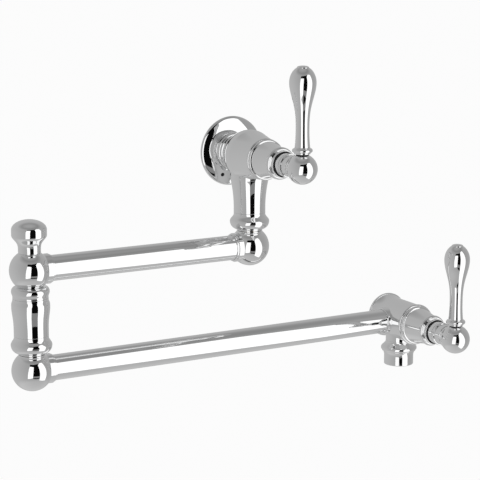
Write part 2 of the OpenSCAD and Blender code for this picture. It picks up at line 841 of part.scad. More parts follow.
module leg_nut() { color(chrome) at_axis(0, arm_z) swivel_nut(leg_d); }
module elbow_nut() { color(chrome) at_axis(elbow_x, low_z) swivel_nut(column_d); }
module shoulder_washer() { color(plastic) at_axis(0, arm_z) slip_washer(); }
module elbow_washer() { color(plastic) at_axis(elbow_x, low_z) slip_washer(); }
module shoulder_spindle() { color(brass) at_axis(0, arm_z) spindle(); }
module elbow_spindle() { color(brass) at_axis(elbow_x, low_z) spindle(); }
module shoulder_o_rings() { color(rubber) at_axis(0, arm_z) spindle_rings(); }
module elbow_o_rings() { color(rubber) at_axis(elbow_x, low_z) spindle_rings(); }

module spout_valve_body() {
    barrel_r = spout_barrel_d / 2;
    boss_foot = sqrt(pow(barrel_r, 2) - pow(boss_d / 2, 2));
    side_way_y = seat_back + side_wall + side_way_d / 2;
    thread_end = outlet_top - outlet_thread_len;
    color(chrome) difference() {
        union() {
            on_valve(spout_x, low_z) barrel(spout_barrel_d, spout_bead_d, -spout_rear);
            on_valve(spout_x, low_z) turned(concat(
                [[0, -spout_rear]],
                back(flare(barrel_r, barrel_flare_len - spout_rear, barrel_r + barrel_flare, -spout_rear)),
                [[0, barrel_flare_len - spout_rear]]));
            at_axis(spout_x, low_z) mirror([1, 0, 0]) sideways() turned(concat(
                [[0, 0], [boss_d / 2, 0]],
                back(flare(tube_hole_d / 2 + boss_wall, boss_out, boss_d / 2, boss_foot)),
                [[0, boss_out]]));
            at_axis(spout_x, low_z) bore(spout_neck_d, outlet_top, 0);
            at_axis(spout_x, low_z) bore(outlet_thread_d, thread_end, outlet_top + cut);
        }
        on_valve(spout_x, low_z) cartridge_bores(spout_rear);
        at_axis(spout_x, low_z) mirror([1, 0, 0]) sideways()
            bore(tube_hole_d, spout_tube_stop, boss_out + cut);
        at_axis(spout_x, low_z) mirror([1, 0, 0]) translate([0, side_way_y, 0]) sideways()
            bore(side_way_d, 0, spout_tube_stop + cut);
        at_axis(spout_x, low_z) outlet_port();
        at_axis(spout_x, low_z) bore(way_d, thread_end - cut, -way_top);
    }
}

module spout_rear_cap() {
    edge_r = cap_d / 2 - cap_edge;
    front = -spout_rear;
    color(chrome) on_valve(spout_x, low_z) union() {
        turned(concat(
            [[0, front]],
            oval(edge_r, front - cap_edge, cap_edge, cap_edge, 90, 0, 5),
            oval(edge_r, front - cap_t + cap_edge, cap_edge, cap_edge, 0, -90, 5),
            [[0, front - cap_t - cap_dome]]));
        ring(spigot_d, seat_bore_d, front - cut, front + spigot_len);
    }
}

module seat_seal() {
    ring(cartridge_d - 2 * loose_gap, seat_bore_d, seat_front, cart_back);
}

module cartridge() {
    flange_front = flange_seat + cartridge_flange_t;
    neck_end = flange_front + cartridge_neck_len;
    window_gap = end_gap / 2;
    difference() {
        union() {
            bore(cartridge_d, cart_back, flange_seat + cut);
            bore(bonnet_thread_d - loose_gap, flange_seat, flange_front);
            bore(cartridge_neck_d, flange_seat + cut, neck_end);
        }
        bore(chamber_d, cart_back - cut, chamber_end);
        bore(stem_d + 2 * run_gap, chamber_end - cut, neck_end + cut);
        for (a = [90, 270])
            rotate([0, 0, a]) translate([0, -window_w / 2, plate_front + window_gap])
                cube([cartridge_d, window_w, chamber_len - 2 * window_gap]);
    }
}

// Two round holes through a disc, opposite each other
module disc_ports(z0, z1) {
    for (side = [-1, 1])
        translate([side * disc_port_r, 0, 0]) bore(disc_port_d, z0 - cut, z1 + cut);
}

module fixed_disc() {
    difference() {
        bore(chamber_d - 2 * fix_gap, disc_back, disc_front);
        disc_ports(disc_back, disc_front);
    }
}

// The moving disc and its plate stand a quarter turn off the fixed disc, which shuts the valve
module moving_disc() {
    difference() {
        bore(disc_d, moving_back, plate_back);
        rotate([0, 0, 90]) disc_ports(moving_back, plate_back);
    }
}

module stem() {
    difference() {
        union() {
            bore(disc_d, plate_back, plate_front);
            bore(stem_d, plate_back, hub_back + stem_grip);
        }
        rotate([0, 0, 90]) disc_ports(plate_back, plate_front);
    }
}

module bonnet() {
    r0 = cone_rear_d / 2;
    r1 = cone_front_d / 2;
    cone_z = barrel_front + bonnet_bead_w + end_gap;
    bead_z = bonnet_end - front_bead_w;
    difference() {
        union() {
            bore(bonnet_thread_d, barrel_front - bonnet_thread_len, barrel_front + cut);
            bead(bonnet_bead_d, cone_rear_d, barrel_front, barrel_front + bonnet_bead_w);
            turned([[0, barrel_front + cut], [r0, barrel_front + cut], [r0, cone_z],
                [r1, bead_z], [r1, bead_z + cut], [0, bead_z + cut]]);
            bead(front_bead_d, cone_front_d, bead_z, bonnet_end);
        }
        bore(bonnet_bore_d, barrel_front - bonnet_thread_len - cut, bonnet_end - bonnet_wall);
        bore(gland_spigot_d + 2 * fix_gap, bonnet_end - bonnet_wall - cut, bonnet_end + cut);
    }
}

module gland_ring() {
    body_d = gland_d - 2 * gland_bead_rise;
    difference() {
        union() {
            bore(gland_spigot_d, bonnet_end - gland_spigot_len, bonnet_end + cut);
            bore(body_d, bonnet_end, gland_end - gland_bead_w / 2);
            bead(gland_d, body_d - cut, gland_end - gland_bead_w, gland_end);
        }
        bore(stem_d + 2 * run_gap, bonnet_end - gland_spigot_len - cut, gland_end + cut);
        bore(hub_d + 2 * groove_w, groove_back, gland_end + cut);
    }
}

// Stands children on a lever's ball, with z up the lever
module on_lever() {
    translate([0, 0, lever_out]) rotate([-90, 0, 0]) children();
}

// Stands children on a hub's axis, pointing to its underside, where the grub screw is
module at_grub() {
    translate([0, 0, gland_end + grub_in]) rotate([90, 0, 0]) children();
}

// How far the outlines of the hub's and the collar's beads turn, either side of their crests
hub_bead_turn = 60;
collar_bead_turn = 75;

module lever_hub() {
    r = hub_d / 2;
    w = hub_waist_d / 2;
    rim_z = gland_end + hub_straight;
    bead_front = lever_out - level_on(lever_ball_d, hub_waist_d) - hub_bead_gap;
    bead_back = bead_front - hub_bead_w;
    difference() {
        union() {
            turned(concat(
                [[0, hub_back], [r, hub_back], [r, rim_z]],
                oval(r - hub_rim_rise, rim_z + hub_rim_w / 2, 2 * hub_rim_rise, hub_rim_w / 2,
                    -hub_bead_turn, hub_bead_turn, 6),
                [[w, rim_z + hub_rim_w], [w, bead_back]],
                oval(w, bead_back + hub_bead_w / 2, hub_bead_rise, hub_bead_w / 2,
                    -hub_bead_turn, hub_bead_turn, 4),
                [[w, bead_front], [w, lever_out], [0, lever_out]]));
            translate([0, 0, lever_out]) sphere(d = lever_ball_d, $fn = smooth);
        }
        bore(stem_d + 2 * fix_gap, hub_back - cut, hub_back + stem_grip + end_gap);
        on_lever() bore(lever_stud_d + 2 * fix_gap, lever_stud_foot, lever_ball_d);
        on_lever() bore(lever_ball_d, lever_foot, lever_ball_d);
        at_grub() bore(grub_d + 2 * fix_gap, 0, hub_d);
    }
}

module hub_grub() {
    length = (hub_d - stem_d) / 2 - end_gap;
    at_grub() translate([0, 0, stem_d / 2 + fix_gap]) grub(grub_d, length);
}

module lever_collar() {
    r = lever_collar_d / 2;
    half = lever_bead_w / 2;
    neck_r = collar_neck_d / 2;
    neck_end = lever_foot + collar_neck_h;
    on_lever() difference() {
        turned(concat(
            [[0, lever_foot], [neck_r, lever_foot], [neck_r, neck_end], [r, neck_end]],
            [[r, lever_bead_z - half]],
            oval(lever_bead_d / 2 - half, lever_bead_z, half, half, -collar_bead_turn, collar_bead_turn),
            [[grip_foot_d / 2, collar_top], [0, collar_top]]));
        bore(lever_stud_d + 2 * fix_gap, lever_foot - cut, collar_top + cut);
    }
}

module lever_grip() {
    r = grip_d / 2;
    waist = grip_waist_d / 2;
    waist_z = collar_top + grip_waist_h;
    swell_z = grip_top - grip_dome_h;
    dome_end = acos((button_d / 2 + grip_flat) / r);
    on_lever() union() {
        bore(lever_stud_d, lever_stud_foot + end_gap, collar_top + cut);
        turned(concat(
            [[0, collar_top]],
            back(flare(waist, waist_z, grip_foot_d / 2, collar_top, 5)),
            flow(waist, waist_z + cut, r, swell_z, 12, grip_late),
            oval(0, swell_z, r, grip_dome_h / sin(dome_end), 0, dome_end, 10),
            [[0, grip_top]]));
    }
}

module lever_button() {
    rim_z = grip_top + button_rim;
    on_lever() turned(concat(
        [[0, grip_top], [button_d / 2, grip_top]],
        oval(0, rim_z, button_d / 2, button_h - button_rim, 0, 90)));
}

module wall_seat_seal() { color(rubber) on_valve(0, 0) seat_seal(); }
module wall_cartridge() { color(brass) on_valve(0, 0) cartridge(); }
module wall_fixed_disc() { color(ceramic) on_valve(0, 0) fixed_disc(); }
module wall_bonnet() { color(chrome) on_valve(0, 0) bonnet(); }
module wall_gland_ring() { color(chrome) on_valve(0, 0) gland_ring(); }
module wall_stem() { color(brass) on_valve(0, 0) stem(); }
module wall_moving_disc() { color(ceramic) on_valve(0, 0) moving_disc(); }
module wall_lever_hub() { color(chrome) on_valve(0, 0) lever_hub(); }
module wall_hub_grub() { color(dark) on_valve(0, 0) hub_grub(); }
module wall_lever_collar() { color(chrome) on_valve(0, 0) lever_collar(); }
module wall_lever_grip() { color(chrome) on_valve(0, 0) lever_grip(); }
module wall_lever_button() { color(chrome) on_valve(0, 0) lever_button(); }

module spout_seat_seal() { color(rubber) on_valve(spout_x, low_z) seat_seal(); }
module spout_cartridge() { color(brass) on_valve(spout_x, low_z) cartridge(); }
module spout_fixed_disc() { color(ceramic) on_valve(spout_x, low_z) fixed_disc(); }
module spout_bonnet() { color(chrome) on_valve(spout_x, low_z) bonnet(); }
module spout_gland_ring() { color(chrome) on_valve(spout_x, low_z) gland_ring(); }
module spout_stem() { color(brass) on_valve(spout_x, low_z) stem(); }
module spout_moving_disc() { color(ceramic) on_valve(spout_x, low_z) moving_disc(); }
module spout_lever_hub() { color(chrome) on_valve(spout_x, low_z) lever_hub(); }
module spout_hub_grub() { color(dark) on_valve(spout_x, low_z) hub_grub(); }
module spout_lever_collar() { color(chrome) on_valve(spout_x, low_z) lever_collar(); }
module spout_lever_grip() { color(chrome) on_valve(spout_x, low_z) lever_grip(); }
module spout_lever_button() { color(chrome) on_valve(spout_x, low_z) lever_button(); }

// How late the outlet swells below its neck
outlet_late = 1.2;

module outlet_housing() {
    r = outlet_bead_d / 2;
    bead_z = outlet_top - outlet_bead_z;
    color(chrome) at_axis(spout_x, low_z) difference() {
        turned(concat(
            [[0, outlet_foot], [outlet_lip_d / 2, outlet_foot]],
            flow(outlet_lip_d / 2, outlet_foot + outlet_lip, r, bead_z - outlet_band_h / 2, 4),
            back(flow(spout_neck_d / 2, outlet_top, r, bead_z + outlet_band_h / 2, 8, outlet_late)),
            [[0, outlet_top]]));
        bore(outlet_thread_d + 2 * fix_gap, web_foot + outlet_web, outlet_top + cut);
        bore(outlet_way_d, outlet_foot, outlet_top);
        bore(aerator_thread_d + 2 * fix_gap, outlet_foot - cut, web_foot);
    }
}

module aerator_gasket() {
    color(rubber) at_axis(spout_x, low_z)
        ring(aerator_thread_d - 2 * loose_gap, aerator_way_d, web_foot - gasket_t, web_foot);
}

module aerator_housing() {
    insert_top = aerator_foot + insert_back + insert_h;
    edge_r = aerator_d / 2 - aerator_edge;
    color(chrome) at_axis(spout_x, low_z) difference() {
        union() {
            bore(aerator_thread_d, outlet_foot - cut, web_foot - gasket_t);
            turned(concat(
                [[0, outlet_foot]],
                back(flare(aerator_d / 2, outlet_foot - aerator_taper_h, aerator_top_d / 2, outlet_foot, 5)),
                oval(edge_r, aerator_foot + aerator_edge, aerator_edge, aerator_edge, 0, -90, 4),
                [[0, aerator_foot]]));
        }
        bore(aerator_bore_d, aerator_foot - cut, insert_top);
        bore(aerator_way_d, aerator_foot, web_foot);
    }
}

// Grid of ring gaps that thin spokes cross, seated in the aerator's mouth
module aerator_insert() {
    r = aerator_bore_d / 2 - fix_gap;
    spoke_h = insert_h - 2 * spoke_inset;
    color(plastic) at_axis(spout_x, low_z) translate([0, 0, aerator_foot + insert_back]) union() {
        difference() {
            bore(2 * r, 0, insert_h);
            for (i = [0 : grid_rings - 1]) {
                outer = r - grid_rim - i * (grid_gap + grid_wall);
                ring(2 * outer, 2 * (outer - grid_gap), -cut, insert_h + cut);
            }
        }
        intersection() {
            bore(2 * r - grid_rim, spoke_inset, insert_h - spoke_inset);
            for (a = [0 : 45 : 135])
                rotate([0, 0, a]) translate([-r, -spoke_w / 2, spoke_inset])
                    cube([2 * r, spoke_w, spoke_h]);
        }
    }
}

wall_flange();
flange_screw();
inlet_union();
wall_valve_body();
leg_nut();
wall_seat_seal();
wall_cartridge();
wall_fixed_disc();
wall_bonnet();
wall_gland_ring();
wall_stem();
wall_moving_disc();
wall_lever_hub();
wall_hub_grub();
wall_lever_collar();
wall_lever_grip();
wall_lever_button();
shoulder_washer();
shoulder_ball();
shoulder_spindle();
shoulder_o_rings();
upper_tube();
elbow_upper_ball();
elbow_finial();
column_ring();
elbow_column();
elbow_nut();
elbow_washer();
elbow_lower_ball();
elbow_spindle();
elbow_o_rings();
lower_tube();
spout_valve_body();
spout_rear_cap();
spout_seat_seal();
spout_cartridge();
spout_fixed_disc();
spout_bonnet();
spout_gland_ring();
spout_stem();
spout_moving_disc();
spout_lever_hub();
spout_hub_grub();
spout_lever_collar();
spout_lever_grip();
spout_lever_button();
outlet_housing();
aerator_gasket();
aerator_housing();
aerator_insert();
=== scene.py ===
"""Looks of a wall-mounted folding pot filler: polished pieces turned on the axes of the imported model."""
import json
import math
import bpy
import bmesh
from mathutils import Matrix, Vector


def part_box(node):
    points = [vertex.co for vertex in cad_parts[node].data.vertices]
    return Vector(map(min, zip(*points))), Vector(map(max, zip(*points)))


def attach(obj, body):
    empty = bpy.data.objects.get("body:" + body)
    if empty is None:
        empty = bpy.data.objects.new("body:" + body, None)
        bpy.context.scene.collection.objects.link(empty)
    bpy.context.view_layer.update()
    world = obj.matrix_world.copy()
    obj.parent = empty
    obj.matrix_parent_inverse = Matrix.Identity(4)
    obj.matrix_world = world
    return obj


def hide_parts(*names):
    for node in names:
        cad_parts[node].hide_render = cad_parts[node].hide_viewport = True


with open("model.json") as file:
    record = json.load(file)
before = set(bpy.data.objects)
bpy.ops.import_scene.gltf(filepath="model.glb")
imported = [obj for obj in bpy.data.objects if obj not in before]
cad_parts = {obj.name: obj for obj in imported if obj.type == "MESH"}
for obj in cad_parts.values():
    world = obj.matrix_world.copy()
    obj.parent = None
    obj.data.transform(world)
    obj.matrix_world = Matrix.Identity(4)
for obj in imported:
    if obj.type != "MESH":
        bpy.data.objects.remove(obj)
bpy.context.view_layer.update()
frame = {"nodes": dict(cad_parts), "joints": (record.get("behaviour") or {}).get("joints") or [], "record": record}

# Sizes below are in millimetres, and angles in degrees
MM = 0.001

# Camera, placed from the centre of the inlet: turned left, tilted down, then away, sideways and up
CAMERA_TURN = 29.52
CAMERA_TILT = 11.28
CAMERA_AWAY = 1660.59
CAMERA_SIDE = 8.09
CAMERA_UP = -81.08
LENS = 137.47

# Arm tubes, and the collars that the balls grip them with
TUBE_R = 11.1
TUBE_WALL = 1.2
TUBE_STOP = 9.5
SPOUT_TUBE_STOP = 13.5
BALL_R = 17.7
SOCKET_R = 11.15
SOCKET_START = 10.0
COLLAR_R = 12.9
COLLAR_END = 16.82
LIP_R = 12.05
LIP_END = 18.52

# Wall flange and inlet union, measured from the wall
FLANGE_R = 31.45
FLANGE_HOLE_R = 15.05
FLANGE_EDGE_W = 5.0
FLANGE_EDGE_H = 2.9
FACE_ANGLE = 20
# Its screw's hole is cut from behind the wall's plane to in front of the face
SCREW_HOLE_BACK = 2
SCREW_HOLE_FRONT = 10
SEAT_T = 2.7
UNION_R = 15.0
SEAT_RING_R = 16.9
SEAT_RING_W = 4.6
REAR_RING_R = 17.0
REAR_RING_W = 4.4
UNION_END = 17.1
INLET_R = 9.3
INLET_DEPTH = 14.0
WAY_R = 7.5
SPIGOT_R = 12.0
SPIGOT_LEN = 4.4

# Valve bodies, measured forwards from the leg's or the spout's axis
BODY_BALL_R = 23.0
BODY_REAR = 16.6
WALL_BARREL_R = 18.4
WALL_BEAD_R = 18.6
SPOUT_BARREL_R = 18.4
SPOUT_BEAD_R = 19.3
SPOUT_REAR = 19.3
SPOUT_FLARE = 1.6
SPOUT_FLARE_LEN = 12.0
# A bonnet's length counts from the first of these, and its bead meets the barrel's at the second
BARREL_FRONT = 30.2
JOINT = 28.6
BARREL_BEAD_W = 3.2
CAP_R = 20.7
CAP_T = 3.0
CAP_EDGE = 0.9
CAP_DOME = 0.8
BOSS_R = 12.5
BOSS_OUT = 20.2
BOSS_EDGE = 0.6
LEG_TOP_R = 17.3
LEG_TAPER = 20.0
LEG_R = 14.2
LEG_WAIST = 4.0
# How far below the axis the leg starts, inside the ball
LEG_SUNK = 13.0

# Swivels, measured upwards from the lower ball's centre
NECK_R = 11.45
NECK_TOP = 14.45
NUT_FOOT = 14.75
NUT_TOP = 31.0
NUT_BEAD = 23.0
NUT_R = 17.7
NUT_LIP = 1.2
NUT_RIM = 1.5
NUT_THREAD_R = 11.45
NUT_FLOOR = 19.0
SPINDLE_WAY_R = 8.06

# Elbow column and finial, measured from the upper ball's centre
SEAT = 13.9
RING_R = 16.4
RING_H = 9.8
RING_ROUND_H = 4.0
RING_ROUND_W = 3.2
NIP = 1.1
NIP_LIP = 0.9
COLUMN_TOP_R = 16.5
COLUMN_HEAD = 7.5
COLUMN_BAND = 2.0
COLUMN_R = 14.9
COLUMN_FOOT = 4.0
COLUMN_LATE = 1.4
FINIAL_SEAT = 15.3
FINIAL_H = 28.3
FINIAL_NECK_R = 9.7
FINIAL_NECK_H = 2.5
FINIAL_LATE = 1.6
FINIAL_R = 15.1
FINIAL_BAND = 4.6
FINIAL_DOME = 8.6

# Bonnet and gland ring, in front of a barrel
BONNET_BEAD_R = 18.1
BONNET_BEAD_W = 3.2
BONNET_LEN = 25.8
CONE_REAR_R = 16.5
CREVICE_DEPTH = 0.5
CREVICE_W = 0.4
CREVICE_SLOPE = 0.2
CONE_FRONT_R = 13.2
FRONT_BEAD_R = 14.25
FRONT_BEAD_W = 4.8
SHOULDER_R = 12.9
BONNET_WALL = 8.0
BONNET_BORE_R = 10.5
GLAND_LEN = 4.3
GLAND_R = 12.1
GLAND_RISE = 0.3
GLAND_BEAD_W = 3.2
GLAND_FLOOR = 1.6
GROOVE_R = 11.3
GLAND_SPIGOT_R = 8.0
STEM_WAY_R = 4.06
# Black rubber ring of painted shade in that groove, standing for the groove's shade: its gaps to the hub and to
# the groove's wall, and its depth below the mouth
SHADE_RING_RUN_GAP = 0.06
SHADE_RING_WALL_GAP = 0.02
SHADE_RING_INSET = 0.45

# Lever
LEVER_OUT = 89.9
LEVER_BALL_R = 13.2
LEVER_H = 88.0
HUB_R = 10.2
HUB_STRAIGHT = 6.1
HUB_RIM_W = 4.0
HUB_RIM_RISE = 0.4
HUB_WAIST_R = 9.4
HUB_BEAD_W = 1.8
HUB_BEAD_RISE = 0.5
HUB_BEAD_GAP = 2.3
HUB_HOLE_R = 2.05
# How far the grub screw's hole goes on past it, and how far the hub reaches into the ball
HUB_HOLE_PAST = 5
HUB_SUNK = 6.0
# Half the turn of the hub's shallow beads
HUB_BEAD_TURN = 60
LEVER_FOOT = 12.5
COLLAR_NECK_R = 4.2
COLLAR_NECK_H = 0.7
# Black ring of painted shade in the crevice under a lever's collar: its outer radius, its gap to the neck and the
# ball, and its rise at the neck
COLLAR_SHADE_R = 5.6
COLLAR_SHADE_GAP = 0.1
COLLAR_SHADE_RISE = 0.15
LEVER_COLLAR_R = 7.0
LEVER_BEAD_R = 8.8
LEVER_BEAD_W = 3.7
LEVER_BEAD_Z = 16.1
COLLAR_TOP = 18.7
GRIP_FOOT_R = 6.6
GRIP_WAIST_R = 5.85
GRIP_WAIST_H = 14.7
GRIP_STRAIGHT = 1.0
GRIP_R = 11.6
GRIP_DOME = 12.3
GRIP_FLAT = 0.5
GRIP_LATE = 1.45
BUTTON_R = 5.2
BUTTON_H = 2.0
BUTTON_RIM = 0.5

# Spout, measured down from its valve's axis
SPOUT_NECK_R = 12.6
SPOUT_NECK_END = 20.4
SPOUT_NECK_SUNK = 11.0
OUTLET_H = 9.8
OUTLET_BEAD_R = 17.0
OUTLET_BEAD = 7.4
OUTLET_BAND = 1.0
OUTLET_LATE = 1.2
OUTLET_LIP_R = 16.0
OUTLET_LIP = 0.4
OUTLET_THREAD_R = 10.35
OUTLET_THREAD_LEN = 4.6
WEB_T = 1.4
WEB_WAY_R = 8.5
AERATOR_R = 13.9
AERATOR_H = 13.4
AERATOR_TOP_R = 15.2
AERATOR_TAPER = 5.4
AERATOR_EDGE = 0.8
AERATOR_THREAD_R = 11.3
AERATOR_TOP = 27.7
AERATOR_BORE_R = 9.6
AERATOR_WAY_R = 7.9
INSERT_TOP = 39.0

# Gaps between pieces that stay together, and before the end of a bore
FIX_GAP = 0.05
END_GAP = 0.4

# Rounding of edges, from the usual one down to that of the rubber rings
EDGE = 0.3
SOCKET_EDGE = 0.25
SMALL_EDGE = 0.2
NECK_EDGE = 0.15
RUBBER_EDGE = 0.1
# The least turn that is rounded, and how much of each neighbouring stretch the rounding may take
CORNER = 18
CORNER_SHARE = 0.4
# Steps round a turned piece, and the angle past which an edge stays crisp
TURNS = 112
CRISP = 32
# A long flat stretch gets a ring this far from its rounded edge, so that it stays flat in reflections
LONG = 1.5
GUARD = 0.1
# Nearer than this, a point is on the axis or on its neighbour
TINY = 1e-6


def set_camera():
    turn, tilt = math.radians(CAMERA_TURN), math.radians(CAMERA_TILT)
    away = Vector((-math.sin(turn) * math.cos(tilt), -math.cos(turn) * math.cos(tilt), math.sin(tilt)))
    side = Vector((math.cos(turn), -math.sin(turn), 0))
    up = away.cross(side)
    camera = bpy.data.objects.new("camera", bpy.data.cameras.new("camera"))
    camera.matrix_world = Matrix.Translation(
        (away * CAMERA_AWAY + side * CAMERA_SIDE + up * CAMERA_UP) * MM
    ) @ Matrix((side, up, away)).transposed().to_4x4()
    camera.data.lens = LENS
    camera.data.clip_end = 100
    bpy.context.collection.objects.link(camera)
    bpy.context.scene.camera = camera


def point_at(joint):
    found = next(j for j in frame["joints"] if j["name"] == joint)
    return Vector(found["pos_m"]) / MM


set_camera()
shoulder = point_at("shoulder_swing")
elbow_low = point_at("elbow_swing")
elbow_top = Vector((elbow_low.x, elbow_low.y, shoulder.z))
wall_valve = Vector((0, shoulder.y, 0))
spout_valve = Vector((point_at("spout_lever_turn").x, shoulder.y, elbow_low.z))
body_of = {n: b for b, nodes in frame["record"]["behaviour"]["bodies"].items() for n in nodes}
slot_of = {part["node"]: part["material_slot"] for part in frame["record"]["subparts"]}


def upright(at):
    """Local z points up."""
    return Matrix.Translation(at)


def forward(at):
    """Local z points away from the wall."""
    return Matrix.Translation(at) @ Matrix(((1, 0, 0), (0, 0, -1), (0, 1, 0))).to_4x4()


def sideways(at, way):
    """Local z points along +x or, where way is -1, along -x."""
    return Matrix.Translation(at) @ Matrix(((0, 0, way), (way, 0, 0), (0, 1, 0))).to_4x4()


# Profiles are lists of (radius, height) points

def flow(r0, z0, r1, z1, n=20, late=1.0):
    """An S from one point to the next, which stays longer near its first radius where late is over 1."""
    steps = [i / n for i in range(n + 1)]
    return [(r0 + (r1 - r0) * (1 - math.cos(math.pi * t ** late)) / 2, z0 + (z1 - z0) * t) for t in steps]


def flare(r0, z0, r1, z1, n=16):
    """Widens steadily from its first radius to its second."""
    steps = [i / n for i in range(n + 1)]
    return [(r0 + (r1 - r0) * t * t, z0 + (z1 - z0) * t) for t in steps]


def oval(r, z, a, b, start, end, n=16):
    angles = [math.radians(start + (end - start) * i / n) for i in range(n + 1)]
    return [(r + a * math.cos(t), z + b * math.sin(t)) for t in angles]


def ball(radius, low, high, n=56):
    """A ball cut flat at two levels, with the flats closed to the axis."""
    first, last = (math.degrees(math.asin(level / radius)) for level in (low, high))
    arc = oval(0, 0, radius, radius, first, last, n)
    start = [] if low <= -radius else [(0, low)]
    end = [] if high >= radius else [(0, high)]
    arc = [(r if r > TINY else 0, z) for r, z in arc]
    return start + arc + end


def bead(r, base, z0, z1, front=None):
    """Half-round bead between two levels. Its front may stand on another radius than its base."""
    half = (z1 - z0) / 2
    centre = r - half
    feet = (base, base if front is None else front)
    turns = [90 if foot <= centre else math.degrees(math.acos((foot - centre) / half)) for foot in feet]
    arc = oval(centre, (z0 + z1) / 2, half, half, -turns[0], turns[1])
    return [(feet[0], z0)] + arc + [(feet[1], z1)]


def eased(points, radius=EDGE, steps=5):
    """Rounds the outline's corners, where both neighbours leave room for it."""
    closed = points[0][0] > 0
    out = []
    for i, (r, z) in enumerate(points):
        if not closed and i in (0, len(points) - 1):
            out.append((r, z))
            continue
        here = Vector((r, z))
        before = Vector(points[i - 1]) - here
        after = Vector(points[(i + 1) % len(points)]) - here
        if before.length < TINY or after.length < TINY:
            continue
        turn = math.pi - before.angle(after)
        if turn < math.radians(CORNER):
            out.append((r, z))
            continue
        room_left = CORNER_SHARE * min(before.length, after.length)
        back_off = min(radius * math.tan(turn / 2), room_left)
        start = here + before.normalized() * back_off
        end = here + after.normalized() * back_off
        if before.length > LONG:
            out.append(tuple(start + before.normalized() * GUARD))
        for k in range(steps + 1):
            t = k / steps
            out.append(tuple(start * (1 - t) ** 2 + here * 2 * t * (1 - t) + end * t * t))
        if after.length > LONG:
            out.append(tuple(end + after.normalized() * GUARD))
    return out


def turned(points, place):
    """Vertices and faces of a profile turned round local z. Off the axis, it closes on itself."""
    closed = points[0][0] > 0
    around = [(math.cos(math.tau * i / TURNS), math.sin(math.tau * i / TURNS)) for i in range(TURNS)]
    vertices, rings, faces = [], [], []
    for r, z in points:
        if r < TINY:
            rings.append([len(vertices)] * TURNS)
            vertices.append(place @ Vector((0, 0, z)) * MM)
        else:
            rings.append(list(range(len(vertices), len(vertices) + TURNS)))
            vertices += [place @ Vector((r * c, r * s, z)) * MM for c, s in around]
    pairs = list(zip(rings, rings[1:]))
    if closed:
        pairs.append((rings[-1], rings[0]))
    for low, high in pairs:
        for i in range(TURNS):
            j = (i + 1) % TURNS
            face = list(dict.fromkeys((low[i], low[j], high[j], high[i])))
            if len(face) > 2:
                faces.append(face)
    return vertices, faces


def shade(mesh):
    """Turns every face outwards, and smooths all but the crisp edges."""
    work = bmesh.new()
    work.from_mesh(mesh)
    bmesh.ops.recalc_face_normals(work, faces=work.faces)
    work.to_mesh(mesh)
    work.free()
    mesh.shade_smooth()
    mesh.set_sharp_from_angle(angle=math.radians(CRISP))


def new_object(name, islands, material):
    vertices, faces = [], []
    for more_vertices, more_faces in islands:
        start = len(vertices)
        vertices += more_vertices
        faces += [[start + i for i in face] for face in more_faces]
    mesh = bpy.data.meshes.new(name)
    mesh.from_pydata(vertices, [], faces)
    mesh.materials.append(material)
    shade(mesh)
    piece = bpy.data.objects.new(name, mesh)
    bpy.context.collection.objects.link(piece)
    return piece


def dress(node, *islands):
    """One piece that stands for a CAD node, from profiles and their places."""
    solids = [turned(points, place) for points, place in islands]
    piece = new_object(node + "_piece", solids, finishes[slot_of[node]])
    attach(piece, body_of[node])
    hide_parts(node)
    return piece


def drill(piece, radius, start, end):
    """Cuts a round hole between two points, which are in metres. Its radius is in millimetres."""
    way = end - start
    turn = way.to_track_quat("Z", "Y").to_matrix().to_4x4()
    rod = [(0, 0), (radius, 0), (radius, way.length / MM), (0, way.length / MM)]
    place = Matrix.Translation(start / MM) @ turn
    cutter = new_object("cutter", [turned(rod, place)], piece.data.materials[0])
    cut = piece.modifiers.new("hole", "BOOLEAN")
    cut.operation = "DIFFERENCE"
    cut.solver = "EXACT"
    cut.object = cutter
    depsgraph = bpy.context.evaluated_depsgraph_get()
    mesh = bpy.data.meshes.new_from_object(piece.evaluated_get(depsgraph))
    piece.modifiers.clear()
    piece.data = mesh
    bpy.data.objects.remove(cutter)
    mesh.shade_smooth()
    mesh.set_sharp_from_angle(angle=math.radians(CRISP))


# Materials

def shader(name, colour, metallic, roughness):
    """A material with its shader, its node tree and the place on the piece's own axes."""
    material = bpy.data.materials.new(name)
    material.use_nodes = True
    tree = material.node_tree
    surface = tree.nodes["Principled BSDF"]
    surface.inputs["Base Color"].default_value = (*colour, 1)
    surface.inputs["Metallic"].default_value = metallic
    surface.inputs["Roughness"].default_value = roughness
    place = tree.nodes.new("ShaderNodeTexCoord").outputs["Object"]
    return material, surface, tree, place


def grain(tree, place, size, detail=3.0):
    """Noise whose features are about size millimetres wide."""
    noise = tree.nodes.new("ShaderNodeTexNoise")
    noise.inputs["Scale"].default_value = 1 / (size * MM)
    noise.inputs["Detail"].default_value = detail
    tree.links.new(place, noise.inputs["Vector"])
    return noise.outputs["Fac"]


def vary(tree, value, low, high, socket):
    """Spreads a noise's middle range over two values of a shader's socket."""
    spread = tree.nodes.new("ShaderNodeMapRange")
    spread.inputs["From Min"].default_value = 0.3
    spread.inputs["From Max"].default_value = 0.7
    spread.inputs["To Min"].default_value = low
    spread.inputs["To Max"].default_value = high
    tree.links.new(value, spread.inputs["Value"])
    tree.links.new(spread.outputs["Result"], socket)


def tint(tree, value, dark, light, socket):
    """Spreads a noise's middle range over two colours."""
    ramp = tree.nodes.new("ShaderNodeValToRGB")
    ramp.color_ramp.elements[0].position = 0.35
    ramp.color_ramp.elements[0].color = (*dark, 1)
    ramp.color_ramp.elements[1].position = 0.65
    ramp.color_ramp.elements[1].color = (*light, 1)
    tree.links.new(value, ramp.inputs["Fac"])
    tree.links.new(ramp.outputs["Color"], socket)


def relief(tree, value, height, strength, surface):
    bump = tree.nodes.new("ShaderNodeBump")
    bump.inputs["Distance"].default_value = height * MM
    bump.inputs["Strength"].default_value = strength
    tree.links.new(value, bump.inputs["Height"])
    tree.links.new(bump.outputs["Normal"], surface.inputs["Normal"])


